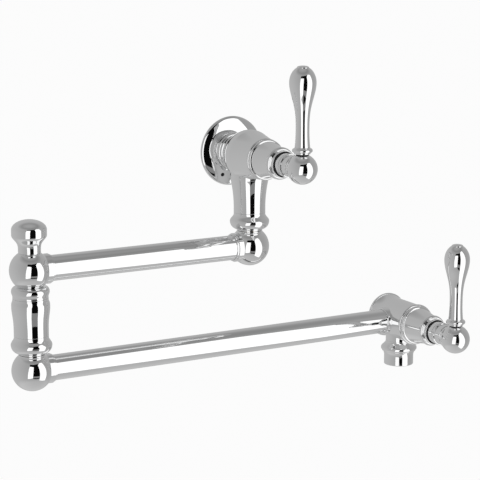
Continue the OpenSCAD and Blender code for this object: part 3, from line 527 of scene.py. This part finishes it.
def chrome():
    """Mirror-polished plating: soft haze left by wiping, and fine polishing marks."""
    material, surface, tree, place = shader("polished_chrome", (0.87, 0.872, 0.874), 1.0, 0.03)
    vary(tree, grain(tree, place, 9, 5), 0.012, 0.05, surface.inputs["Roughness"])
    relief(tree, grain(tree, place, 0.35, 2), 0.004, 0.05, surface)
    return material


def brass():
    material, surface, tree, place = shader("brass", (0.78, 0.62, 0.32), 1.0, 0.25)
    stain = grain(tree, place, 4, 4)
    tint(tree, stain, (0.70, 0.54, 0.26), (0.82, 0.67, 0.36), surface.inputs["Base Color"])
    vary(tree, grain(tree, place, 1.5, 4), 0.18, 0.36, surface.inputs["Roughness"])
    relief(tree, grain(tree, place, 0.2, 2), 0.01, 0.3, surface)
    return material


def rubber():
    material, surface, tree, place = shader("rubber", (0.02, 0.02, 0.022), 0.0, 0.6)
    stain = grain(tree, place, 1.2, 4)
    tint(tree, stain, (0.014, 0.014, 0.015), (0.028, 0.028, 0.030), surface.inputs["Base Color"])
    vary(tree, grain(tree, place, 0.8), 0.5, 0.75, surface.inputs["Roughness"])
    relief(tree, grain(tree, place, 0.15), 0.02, 0.5, surface)
    return material


def ceramic():
    material, surface, tree, place = shader("ceramic", (0.86, 0.86, 0.82), 0.0, 0.15)
    stain = grain(tree, place, 2, 4)
    tint(tree, stain, (0.83, 0.83, 0.79), (0.89, 0.89, 0.86), surface.inputs["Base Color"])
    vary(tree, grain(tree, place, 0.6), 0.10, 0.22, surface.inputs["Roughness"])
    relief(tree, grain(tree, place, 0.1), 0.004, 0.3, surface)
    return material


def plastic():
    material, surface, tree, place = shader("moulded_plastic", (0.72, 0.73, 0.74), 0.0, 0.4)
    stain = grain(tree, place, 3, 4)
    tint(tree, stain, (0.69, 0.70, 0.71), (0.75, 0.76, 0.77), surface.inputs["Base Color"])
    vary(tree, grain(tree, place, 0.5), 0.32, 0.5, surface.inputs["Roughness"])
    relief(tree, grain(tree, place, 0.25), 0.01, 0.4, surface)
    return material


def dark_steel():
    material, surface, tree, place = shader("dark_steel", (0.05, 0.05, 0.055), 0.9, 0.35)
    stain = grain(tree, place, 0.8, 4)
    tint(tree, stain, (0.035, 0.035, 0.04), (0.07, 0.07, 0.075), surface.inputs["Base Color"])
    vary(tree, grain(tree, place, 0.4), 0.25, 0.5, surface.inputs["Roughness"])
    relief(tree, grain(tree, place, 0.12), 0.008, 0.5, surface)
    return material


finishes = {
    "polished_chrome": chrome(),
    "brass": brass(),
    "rubber": rubber(),
    "ceramic": ceramic(),
    "moulded_plastic": plastic(),
    "dark_steel": dark_steel(),
}
for node, piece in frame["nodes"].items():
    piece.data.materials.clear()
    piece.data.materials.append(finishes[slot_of[node]])


# Wall side

def flange():
    seat = SEAT_RING_R + FIX_GAP
    fall = math.radians(FACE_ANGLE)
    # How far the edge's oval turns to meet the crowned face without a crease
    turn = math.atan(FLANGE_EDGE_H / FLANGE_EDGE_W / math.tan(fall))
    crown = (FLANGE_R - FLANGE_EDGE_W * (1 - math.cos(turn)) - seat) / math.sin(fall)
    crown_z = FLANGE_EDGE_H * math.sin(turn) - crown * math.cos(fall)
    outline = (
        [(FLANGE_HOLE_R, 0)]
        + oval(FLANGE_R - FLANGE_EDGE_W, 0, FLANGE_EDGE_W, FLANGE_EDGE_H, 0, math.degrees(turn), 24)
        + oval(seat, crown_z, crown, crown, 90 - FACE_ANGLE, 90, 24)[1:]
        + [(seat, SEAT_T), (FLANGE_HOLE_R, SEAT_T)]
    )
    piece = dress("wall_flange", (eased(outline), forward((0, 0, 0))))
    low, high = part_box("flange_screw")
    middle = (low + high) / 2
    radius = (high.x - low.x) / 2 / MM + FIX_GAP
    start = Vector((middle.x, SCREW_HOLE_BACK * MM, middle.z))
    end = Vector((middle.x, -SCREW_HOLE_FRONT * MM, middle.z))
    drill(piece, radius, start, end)


def union():
    rear = UNION_END - REAR_RING_W
    outline = (
        [(INLET_R, 0), (UNION_R, 0)]
        + bead(SEAT_RING_R, UNION_R, SEAT_T, SEAT_T + SEAT_RING_W)
        + bead(REAR_RING_R, UNION_R, rear, UNION_END)
        + [(SPIGOT_R, UNION_END), (SPIGOT_R, UNION_END + SPIGOT_LEN), (WAY_R, UNION_END + SPIGOT_LEN)]
        + [(WAY_R, INLET_DEPTH), (INLET_R, INLET_DEPTH)]
    )
    dress("inlet_union", (eased(outline), forward((0, 0, 0))))


def wall_body():
    bead_back = JOINT - BARREL_BEAD_W
    rear = math.degrees(math.asin(-BODY_REAR / BODY_BALL_R))
    # Where the straight cone leaves the ball without a crease
    reach = math.hypot(bead_back, WALL_BARREL_R)
    leave = math.degrees(math.atan2(bead_back, WALL_BARREL_R) - math.acos(BODY_BALL_R / reach))
    body = (
        [(0, -BODY_REAR)]
        + oval(0, 0, BODY_BALL_R, BODY_BALL_R, rear, leave, 48)
        + bead(WALL_BEAD_R, WALL_BARREL_R, bead_back, JOINT, WALL_BEAD_R - BARREL_BEAD_W / 2)
        + [(0, JOINT)]
    )
    foot = shoulder.z + NUT_TOP
    leg = (
        [(0, foot), (LEG_R, foot)]
        + flare(LEG_R, foot + LEG_WAIST, LEG_TOP_R, -LEG_TAPER, 28)
        + [(LEG_TOP_R, -LEG_SUNK), (0, -LEG_SUNK)]
    )
    dress("wall_valve_body", (eased(body), forward(wall_valve)), (eased(leg), upright(wall_valve)))


def nut(node, at, top):
    outline = (
        [(SPINDLE_WAY_R, NUT_FOOT), (NECK_R, NUT_FOOT)]
        + oval(NECK_R, NUT_BEAD, NUT_R - NECK_R, NUT_BEAD - NUT_FOOT - NUT_LIP, -90, 0, 24)
        + flow(NUT_R, NUT_BEAD, top, NUT_TOP - NUT_RIM)[1:]
        + [(top, NUT_TOP), (NUT_THREAD_R, NUT_TOP), (NUT_THREAD_R, NUT_FLOOR), (SPINDLE_WAY_R, NUT_FLOOR)]
    )
    dress(node, (eased(outline), upright(at)))


# Arms

def collar():
    """Collar and lip with which a ball holds its tube, measured along the tube."""
    outline = [
        (SOCKET_R, SOCKET_START), (COLLAR_R, SOCKET_START), (COLLAR_R, COLLAR_END),
        (LIP_R, COLLAR_END), (LIP_R, LIP_END), (SOCKET_R, LIP_END),
    ]
    return eased(outline, SOCKET_EDGE)


def swivel_ball(node, at, way):
    round_part = ball(BALL_R, -BALL_R, math.sqrt(BALL_R ** 2 - NECK_R ** 2), 72)[:-1]
    outline = round_part + [(NECK_R, NECK_TOP), (0, NECK_TOP)]
    dress(node, (eased(outline), upright(at)), (collar(), sideways(at, way)))


def tube(node, start, end):
    outline = [
        (TUBE_R - TUBE_WALL, start), (TUBE_R, start), (TUBE_R, (start + end) / 2), (TUBE_R, end),
        (TUBE_R - TUBE_WALL, end),
    ]
    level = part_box(node)[0].z / MM + TUBE_R
    dress(node, (eased(outline), sideways(Vector((elbow_low.x, elbow_low.y, level)), 1)))


def upper_ball():
    dress(
        "elbow_upper_ball",
        (eased(ball(BALL_R, -SEAT, FINIAL_SEAT, 64)), upright(elbow_top)),
        (collar(), sideways(elbow_top, 1)),
    )


def finial():
    dome = FINIAL_H - FINIAL_DOME
    outline = (
        [(0, 0), (FINIAL_NECK_R, 0)]
        + flow(FINIAL_NECK_R, FINIAL_NECK_H, FINIAL_R, dome - FINIAL_BAND, 28, FINIAL_LATE)
        + oval(0, dome, FINIAL_R, FINIAL_DOME, 0, 90, 40)[:-1]
        + [(0, FINIAL_H)]
    )
    dress("elbow_finial", (eased(outline), upright(elbow_top + Vector((0, 0, FINIAL_SEAT)))))


def column_ring():
    foot = -SEAT - RING_H
    outline = (
        [(SPINDLE_WAY_R, foot), (RING_R - NIP, foot)]
        + flow(RING_R - NIP, foot + NIP_LIP, RING_R, -SEAT - RING_ROUND_H)
        + oval(RING_R - RING_ROUND_W, -SEAT - RING_ROUND_H, RING_ROUND_W, RING_ROUND_H, 0, 90)[1:]
        + [(SPINDLE_WAY_R, -SEAT)]
    )
    dress("column_ring", (eased(outline), upright(elbow_top)))


def column():
    top = -SEAT - RING_H
    foot = elbow_low.z - elbow_top.z + NUT_TOP
    head = top - COLUMN_HEAD
    outline = (
        [(0, foot), (COLUMN_R, foot)]
        + flow(COLUMN_R, foot + COLUMN_FOOT, COLUMN_TOP_R, head, 28, COLUMN_LATE)
        + flow(COLUMN_TOP_R, head + COLUMN_BAND, COLUMN_TOP_R - NIP, top - NIP_LIP, 14)
        + [(COLUMN_TOP_R - NIP, top), (0, top)]
    )
    dress("elbow_column", (eased(outline), upright(elbow_top)))


# Valves

def bonnet(node, at):
    cone = JOINT + BONNET_BEAD_W
    end = BARREL_FRONT + BONNET_LEN
    bead_foot = BONNET_BEAD_R - BONNET_BEAD_W / 2
    crevice_r = CONE_REAR_R - CREVICE_DEPTH
    crevice = cone + CREVICE_SLOPE
    crevice_end = crevice + CREVICE_W
    outline = (
        [(BONNET_BORE_R, JOINT)]
        + bead(BONNET_BEAD_R, bead_foot, JOINT, cone)
        + [(crevice_r, crevice), (crevice_r, crevice_end), (CONE_REAR_R, crevice_end + CREVICE_SLOPE)]
        + bead(FRONT_BEAD_R, CONE_FRONT_R, end - FRONT_BEAD_W, end, SHOULDER_R)
        + [(GLAND_SPIGOT_R, end), (GLAND_SPIGOT_R, end - BONNET_WALL), (BONNET_BORE_R, end - BONNET_WALL)]
    )
    dress(node, (eased(outline), forward(at)))


def gland_ring(node, at):
    start = BARREL_FRONT + BONNET_LEN
    end = start + GLAND_LEN
    outline = (
        [(STEM_WAY_R, start), (GLAND_R - GLAND_RISE, start)]
        + bead(GLAND_R, GLAND_R - GLAND_RISE, end - GLAND_BEAD_W, end)
        + [(GROOVE_R, end), (GROOVE_R, start + GLAND_FLOOR), (STEM_WAY_R, start + GLAND_FLOOR)]
    )
    dress(node, (eased(outline, SMALL_EDGE), forward(at)))


def painted_shade_ring(name, node, outline, place):
    """Black ring of painted shade that rides with a node and stands for none."""
    piece = new_object(name, [turned(eased(outline, RUBBER_EDGE), place)], finishes["rubber"])
    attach(piece, body_of[node])


def groove_shade_ring(name, node, at):
    """Black ring of painted shade down in the groove between a gland ring and its hub, standing for the groove's
    shade.
    """
    start = BARREL_FRONT + BONNET_LEN + GLAND_FLOOR + FIX_GAP
    end = BARREL_FRONT + BONNET_LEN + GLAND_LEN - SHADE_RING_INSET
    inner = HUB_R + SHADE_RING_RUN_GAP
    outer = GROOVE_R - SHADE_RING_WALL_GAP
    outline = [(inner, start), (outer, start), (outer, end), (inner, end)]
    painted_shade_ring(name, node, outline, forward(at))


def collar_shade_ring(name, node, at):
    """Black ring of painted shade round the neck under a lever's collar, standing for the shade in the crevice
    there. Its foot follows the lever's ball.
    """
    low = math.sqrt(LEVER_BALL_R ** 2 - COLLAR_SHADE_R ** 2) + COLLAR_SHADE_GAP
    top = LEVER_FOOT + COLLAR_NECK_H - FIX_GAP
    inner = COLLAR_NECK_R + COLLAR_SHADE_GAP
    outline = [(inner, LEVER_FOOT + COLLAR_SHADE_RISE)]
    outline += [(COLLAR_SHADE_R, low), (COLLAR_SHADE_R, top), (inner, top)]
    painted_shade_ring(name, node, outline, upright(at + Vector((0, -LEVER_OUT, 0))))


def hub(node, grub, at):
    back = BARREL_FRONT + BONNET_LEN + GLAND_FLOOR + END_GAP
    rim = BARREL_FRONT + BONNET_LEN + GLAND_LEN + HUB_STRAIGHT
    bead_front = LEVER_OUT - math.sqrt(LEVER_BALL_R ** 2 - HUB_WAIST_R ** 2) - HUB_BEAD_GAP
    bead_back = bead_front - HUB_BEAD_W
    rim_mid = rim + HUB_RIM_W / 2
    bead_mid = bead_back + HUB_BEAD_W / 2
    turn = HUB_BEAD_TURN
    front = LEVER_OUT - HUB_SUNK
    outline = (
        [(0, back), (HUB_R, back), (HUB_R, rim)]
        + oval(HUB_R - HUB_RIM_RISE, rim_mid, 2 * HUB_RIM_RISE, HUB_RIM_W / 2, -turn, turn)
        + [(HUB_WAIST_R, rim + HUB_RIM_W), (HUB_WAIST_R, bead_back)]
        + oval(HUB_WAIST_R, bead_mid, HUB_BEAD_RISE, HUB_BEAD_W / 2, -turn, turn)
        + [(HUB_WAIST_R, bead_front), (HUB_WAIST_R, front), (0, front)]
    )
    piece = dress(
        node,
        (eased(outline, SMALL_EDGE), forward(at)),
        (eased(ball(LEVER_BALL_R, -LEVER_BALL_R, LEVER_FOOT, 64)), upright(at + Vector((0, -LEVER_OUT, 0)))),
    )
    low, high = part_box(grub)
    middle = (low + high) / 2
    start = Vector((middle.x, middle.y, high.z))
    end = Vector((middle.x, middle.y, low.z - HUB_HOLE_PAST * MM))
    drill(piece, HUB_HOLE_R, start, end)


def lever(side, at):
    centre = upright(at + Vector((0, -LEVER_OUT, 0)))
    half = LEVER_BEAD_W / 2
    neck_end = LEVER_FOOT + COLLAR_NECK_H
    foot = (
        [(0, LEVER_FOOT), (COLLAR_NECK_R, LEVER_FOOT), (COLLAR_NECK_R, neck_end), (LEVER_COLLAR_R, neck_end)]
        + bead(LEVER_BEAD_R, LEVER_COLLAR_R, LEVER_BEAD_Z - half, LEVER_BEAD_Z + half)
        + [(GRIP_FOOT_R, COLLAR_TOP), (0, COLLAR_TOP)]
    )
    dress(side + "_lever_collar", (eased(foot, SMALL_EDGE), centre))
    top = LEVER_H - BUTTON_H
    waist = COLLAR_TOP + GRIP_WAIST_H
    swell = top - GRIP_DOME
    dome_end = math.acos((BUTTON_R + GRIP_FLAT) / GRIP_R)
    grip = (
        [(0, COLLAR_TOP)]
        + flare(GRIP_WAIST_R, waist, GRIP_FOOT_R, COLLAR_TOP)[::-1]
        + flow(GRIP_WAIST_R, waist + GRIP_STRAIGHT, GRIP_R, swell, 40, GRIP_LATE)
        + oval(0, swell, GRIP_R, GRIP_DOME / math.sin(dome_end), 0, math.degrees(dome_end), 28)[1:]
        + [(0, top)]
    )
    dress(side + "_lever_grip", (eased(grip), centre))
    button = (
        [(0, top), (BUTTON_R, top)]
        + oval(0, top + BUTTON_RIM, BUTTON_R, BUTTON_H - BUTTON_RIM, 0, 90, 20)[:-1]
        + [(0, LEVER_H)]
    )
    dress(side + "_lever_button", (eased(button, SMALL_EDGE), centre))


def valve_front(side, at):
    bonnet(side + "_bonnet", at)
    gland_ring(side + "_gland_ring", at)
    # Black ring of painted shade in the gland ring's groove
    groove_shade_ring(side + "_groove_shade_ring", side + "_gland_ring", at)
    hub(side + "_lever_hub", side + "_hub_grub", at)
    # Black ring of painted shade in the crevice under the lever's collar
    collar_shade_ring(side + "_collar_shade_ring", side + "_lever_collar", at)
    lever(side, at)


# Spout

def spout_body():
    flared_r = SPOUT_BARREL_R + SPOUT_FLARE
    bead_back = JOINT - BARREL_BEAD_W
    barrel = (
        [(0, -SPOUT_REAR)]
        + flare(SPOUT_BARREL_R, SPOUT_FLARE_LEN - SPOUT_REAR, flared_r, -SPOUT_REAR, 24)[::-1]
        + bead(SPOUT_BEAD_R, SPOUT_BARREL_R, bead_back, JOINT, SPOUT_BEAD_R - BARREL_BEAD_W / 2)
        + [(0, JOINT)]
    )
    neck = [
        (0, -SPOUT_NECK_END), (SPOUT_NECK_R, -SPOUT_NECK_END),
        (SPOUT_NECK_R, -SPOUT_NECK_SUNK), (0, -SPOUT_NECK_SUNK),
    ]
    boss = (
        [(SOCKET_R, SOCKET_START), (BOSS_R, SOCKET_START)]
        + oval(BOSS_R - BOSS_EDGE, BOSS_OUT - BOSS_EDGE, BOSS_EDGE, BOSS_EDGE, 0, 90)
        + [(SOCKET_R, BOSS_OUT)]
    )
    dress(
        "spout_valve_body",
        (eased(barrel), forward(spout_valve)),
        (eased(neck, NECK_EDGE), upright(spout_valve)),
        (eased(boss, SOCKET_EDGE), sideways(spout_valve, -1)),
    )


def spout_cap():
    edge = CAP_R - CAP_EDGE
    back = SPOUT_REAR + CAP_T
    outline = (
        [(0, -back - CAP_DOME)]
        + oval(edge, CAP_EDGE - back, CAP_EDGE, CAP_EDGE, -90, 0)
        + oval(edge, -SPOUT_REAR - CAP_EDGE, CAP_EDGE, CAP_EDGE, 0, 90)
        + [(0, -SPOUT_REAR)]
    )
    dress("spout_rear_cap", (eased(outline), forward(spout_valve)))


def outlet():
    top = -SPOUT_NECK_END
    foot = top - OUTLET_H
    middle = top - OUTLET_BEAD
    web = top - OUTLET_THREAD_LEN
    thread_r = AERATOR_THREAD_R + FIX_GAP
    outline = (
        [(thread_r, foot), (OUTLET_LIP_R, foot)]
        + flow(OUTLET_LIP_R, foot + OUTLET_LIP, OUTLET_BEAD_R, middle - OUTLET_BAND / 2, 12)
        + flow(SPOUT_NECK_R, top, OUTLET_BEAD_R, middle + OUTLET_BAND / 2, 24, OUTLET_LATE)[::-1]
        + [(OUTLET_THREAD_R, top), (OUTLET_THREAD_R, web), (WEB_WAY_R, web), (WEB_WAY_R, web - WEB_T)]
        + [(thread_r, web - WEB_T)]
    )
    dress("outlet_housing", (eased(outline), upright(spout_valve)))


def aerator():
    top = -SPOUT_NECK_END - OUTLET_H
    foot = top - AERATOR_H
    edge = AERATOR_R - AERATOR_EDGE
    outline = (
        [(AERATOR_BORE_R, foot)]
        + oval(edge, foot + AERATOR_EDGE, AERATOR_EDGE, AERATOR_EDGE, -90, 0)
        + flare(AERATOR_R, top - AERATOR_TAPER, AERATOR_TOP_R, top)
        + [(AERATOR_THREAD_R, top), (AERATOR_THREAD_R, -AERATOR_TOP)]
        + [(AERATOR_WAY_R, -AERATOR_TOP), (AERATOR_WAY_R, -INSERT_TOP), (AERATOR_BORE_R, -INSERT_TOP)]
    )
    dress("aerator_housing", (eased(outline, SMALL_EDGE), upright(spout_valve)))


flange()
union()
wall_body()
nut("leg_nut", shoulder, LEG_R)
valve_front("wall", wall_valve)
swivel_ball("shoulder_ball", shoulder, -1)
tube("upper_tube", TUBE_STOP, shoulder.x - elbow_top.x - TUBE_STOP)
upper_ball()
finial()
column_ring()
column()
nut("elbow_nut", elbow_low, COLUMN_R)
swivel_ball("elbow_lower_ball", elbow_low, 1)
tube("lower_tube", TUBE_STOP, spout_valve.x - elbow_low.x - SPOUT_TUBE_STOP)
spout_body()
spout_cap()
valve_front("spout", spout_valve)
outlet()
aerator()


# Studio: what the polished metal shows, and the floor. Lengths here are in metres

FLOOR_Z = -1.6
FLOOR_HALF = 40.0
# Colour of the floor's paint, and how much of it glows white for the camera and for metal
FLOOR_PAINT = 0.9
FLOOR_GLOW = 0.9
ROOM_R = 3.2
ROOM_BOTTOM = -1.45
ROOM_CENTRE = Vector((-0.02, -0.05, -0.06))
BACKDROP_ANGLE = 10
WORLD_LIGHT = 0.8
WHITE_PANEL = 1.25
BLACK_PANEL = 0.003
# Greys of the room, from straight down to straight up, and the factors on them towards its sides
ROOM_GREYS = [(-90, 0.50), (-52, 0.50), (-38, 0.42), (0, 0.40), (42, 0.38), (60, 0.26), (90, 0.36)]
LEFT_GAIN = 1.1
RIGHT_GAIN = 1.0
FRONT_GAIN = 0.85
BACK_GAIN = 1.2
# Corners of the white boxes left and right of the camera
LEFT_BOX = [
    (-0.950, -0.950, 0.650), (-0.581, -1.567, 0.800), (-0.725, -1.395, -0.959), (-1.127, -0.798, -0.929),
]
RIGHT_BOX = [
    (0.124, -1.126, 0.679), (0.290, -0.835, 0.800), (0.455, -0.545, 0.539), (0.544, -0.376, -0.885),
    (0.107, -0.813, -0.916),
]
# Dark gap between the boxes: its place, and from the top down a dark wall, a grey band and a dark foot
GAP_Y = -1.9
GAP_LEFT = -0.85
GAP_RIGHT = 0.48
GAP_LEVELS = [1.4, -0.85, -1.22, -1.48]
GAP_GREY = 0.24
# Dark top over the gap, on the boxes' upper corners: first its foot, then its upper edge
DARK_TOP = [
    (-0.950, -0.950, 0.650), (-0.581, -1.567, 0.800), (0.124, -1.126, 0.679), (0.290, -0.835, 0.800),
    (-0.950, -0.950, 1.050), (-0.581, -1.567, 1.400), (0.124, -1.126, 0.950), (0.290, -0.835, 0.830),
]


def seen_by_eye_and_metal(tree):
    """1 for camera, glossy and transmission rays, and 0 for the rays that light the object."""
    path = tree.nodes.new("ShaderNodeLightPath")
    total = path.outputs["Is Camera Ray"]
    for ray in ("Is Glossy Ray", "Is Transmission Ray"):
        most = tree.nodes.new("ShaderNodeMath")
        most.operation = "MAXIMUM"
        tree.links.new(total, most.inputs[0])
        tree.links.new(path.outputs[ray], most.inputs[1])
        total = most.outputs[0]
    return total


def set_world():
    world = bpy.data.worlds.new("studio")
    world.use_nodes = True
    tree = world.node_tree
    level = tree.nodes.new("ShaderNodeMapRange")
    level.inputs["To Min"].default_value = WORLD_LIGHT
    level.inputs["To Max"].default_value = 1.0
    tree.links.new(seen_by_eye_and_metal(tree), level.inputs["Value"])
    background = tree.nodes["Background"]
    background.inputs["Color"].default_value = (1, 1, 1, 1)
    tree.links.new(level.outputs["Result"], background.inputs["Strength"])
    bpy.context.scene.world = world


def glowing(name, strength):
    material = bpy.data.materials.new(name)
    material.use_nodes = True
    tree = material.node_tree
    tree.nodes.remove(tree.nodes["Principled BSDF"])
    glow = tree.nodes.new("ShaderNodeEmission")
    glow.inputs["Strength"].default_value = strength
    tree.links.new(glow.outputs[0], tree.nodes["Material Output"].inputs["Surface"])
    return material, tree, glow


def stage_piece(name, vertices, faces, material):
    mesh = bpy.data.meshes.new(name)
    mesh.from_pydata(vertices, [], faces)
    mesh.materials.append(material)
    piece = bpy.data.objects.new(name, mesh)
    bpy.context.collection.objects.link(piece)
    return piece


def floor():
    """Pale floor that shows white and keeps the object's shadow."""
    material, tree, glow = glowing("floor", 1.0)
    paint = tree.nodes.new("ShaderNodeBsdfDiffuse")
    paint.inputs["Color"].default_value = (FLOOR_PAINT, FLOOR_PAINT, FLOOR_PAINT, 1)
    share = tree.nodes.new("ShaderNodeMath")
    share.operation = "MULTIPLY"
    share.inputs[1].default_value = FLOOR_GLOW
    mix = tree.nodes.new("ShaderNodeMixShader")
    tree.links.new(seen_by_eye_and_metal(tree), share.inputs[0])
    tree.links.new(share.outputs[0], mix.inputs["Fac"])
    tree.links.new(paint.outputs[0], mix.inputs[1])
    tree.links.new(glow.outputs[0], mix.inputs[2])
    tree.links.new(mix.outputs[0], tree.nodes["Material Output"].inputs["Surface"])
    h = FLOOR_HALF
    corners = [(-h, -h, FLOOR_Z), (h, -h, FLOOR_Z), (h, h, FLOOR_Z), (-h, h, FLOOR_Z)]
    stage_piece("floor", corners, [(0, 1, 2, 3)], material)


def room():
    """Grey studio round the object, open behind it where the white backdrop is. Only reflections show it."""
    material, tree, glow = glowing("room", 1.0)
    way = tree.nodes.new("ShaderNodeVectorMath")
    way.operation = "NORMALIZE"
    split = tree.nodes.new("ShaderNodeSeparateXYZ")
    tree.links.new(tree.nodes.new("ShaderNodeTexCoord").outputs["Object"], way.inputs[0])
    tree.links.new(way.outputs["Vector"], split.inputs[0])
    height = tree.nodes.new("ShaderNodeMapRange")
    height.inputs["From Min"].default_value = -1
    tree.links.new(split.outputs["Z"], height.inputs["Value"])
    ramp = tree.nodes.new("ShaderNodeValToRGB")
    stops = ramp.color_ramp.elements
    last = len(ROOM_GREYS) - 1
    for place, (angle, grey) in enumerate(ROOM_GREYS):
        at = (math.sin(math.radians(angle)) + 1) / 2
        if place in (0, last):
            stop = stops[0 if place == 0 else -1]
        else:
            stop = stops.new(at)
        stop.position = at
        stop.color = (grey, grey, grey, 1)
    tree.links.new(height.outputs["Result"], ramp.inputs["Fac"])
    tree.links.new(ramp.outputs["Color"], glow.inputs["Color"])
    gain = tree.nodes.new("ShaderNodeMath")
    gain.operation = "MULTIPLY"
    for side, (axis, low, high) in enumerate((("X", LEFT_GAIN, RIGHT_GAIN), ("Y", FRONT_GAIN, BACK_GAIN))):
        slope = tree.nodes.new("ShaderNodeMapRange")
        slope.inputs["From Min"].default_value = -1
        slope.inputs["To Min"].default_value = low
        slope.inputs["To Max"].default_value = high
        tree.links.new(split.outputs[axis], slope.inputs["Value"])
        tree.links.new(slope.outputs["Result"], gain.inputs[side])
    tree.links.new(gain.outputs[0], glow.inputs["Strength"])
    material.cycles.emission_sampling = "NONE"
    work = bmesh.new()
    bmesh.ops.create_uvsphere(work, u_segments=96, v_segments=64, radius=ROOM_R)
    view = bpy.context.scene.camera.matrix_world.to_3x3() @ Vector((0, 0, -1))
    behind = [f for f in work.faces if f.calc_center_median().angle(view) < math.radians(BACKDROP_ANGLE)]
    bmesh.ops.delete(work, geom=behind, context="FACES")
    for vertex in work.verts:
        vertex.co.z = max(vertex.co.z, ROOM_BOTTOM)
    mesh = bpy.data.meshes.new("room")
    work.to_mesh(mesh)
    work.free()
    mesh.materials.append(material)
    piece = bpy.data.objects.new("room", mesh)
    piece.location = ROOM_CENTRE
    bpy.context.collection.objects.link(piece)
    piece.visible_camera = False
    piece.visible_diffuse = False
    piece.visible_shadow = False


def panel(name, corners, faces, strength, lights):
    piece = stage_piece(name, corners, faces, glowing(name, strength)[0])
    piece.visible_camera = False
    piece.visible_diffuse = lights
    piece.visible_shadow = False


set_world()
floor()
room()
panel("left_box", LEFT_BOX, [(0, 1, 2, 3)], WHITE_PANEL, True)
panel("right_box", RIGHT_BOX, [(0, 1, 4), (1, 2, 3), (1, 3, 4)], WHITE_PANEL, True)
gap_strengths = (BLACK_PANEL, GAP_GREY, BLACK_PANEL)
for part, (high, low, strength) in enumerate(zip(GAP_LEVELS, GAP_LEVELS[1:], gap_strengths)):
    outline = ((GAP_LEFT, high), (GAP_RIGHT, high), (GAP_RIGHT, low), (GAP_LEFT, low))
    corners = [(x, GAP_Y, z) for x, z in outline]
    panel("gap_%d" % part, corners, [(0, 1, 2, 3)], strength, False)
panel("dark_top", DARK_TOP, [(0, 1, 5, 4), (1, 2, 6, 5), (2, 3, 7, 6)], BLACK_PANEL, False)
bpy.context.scene.view_settings.view_transform = "Standard"
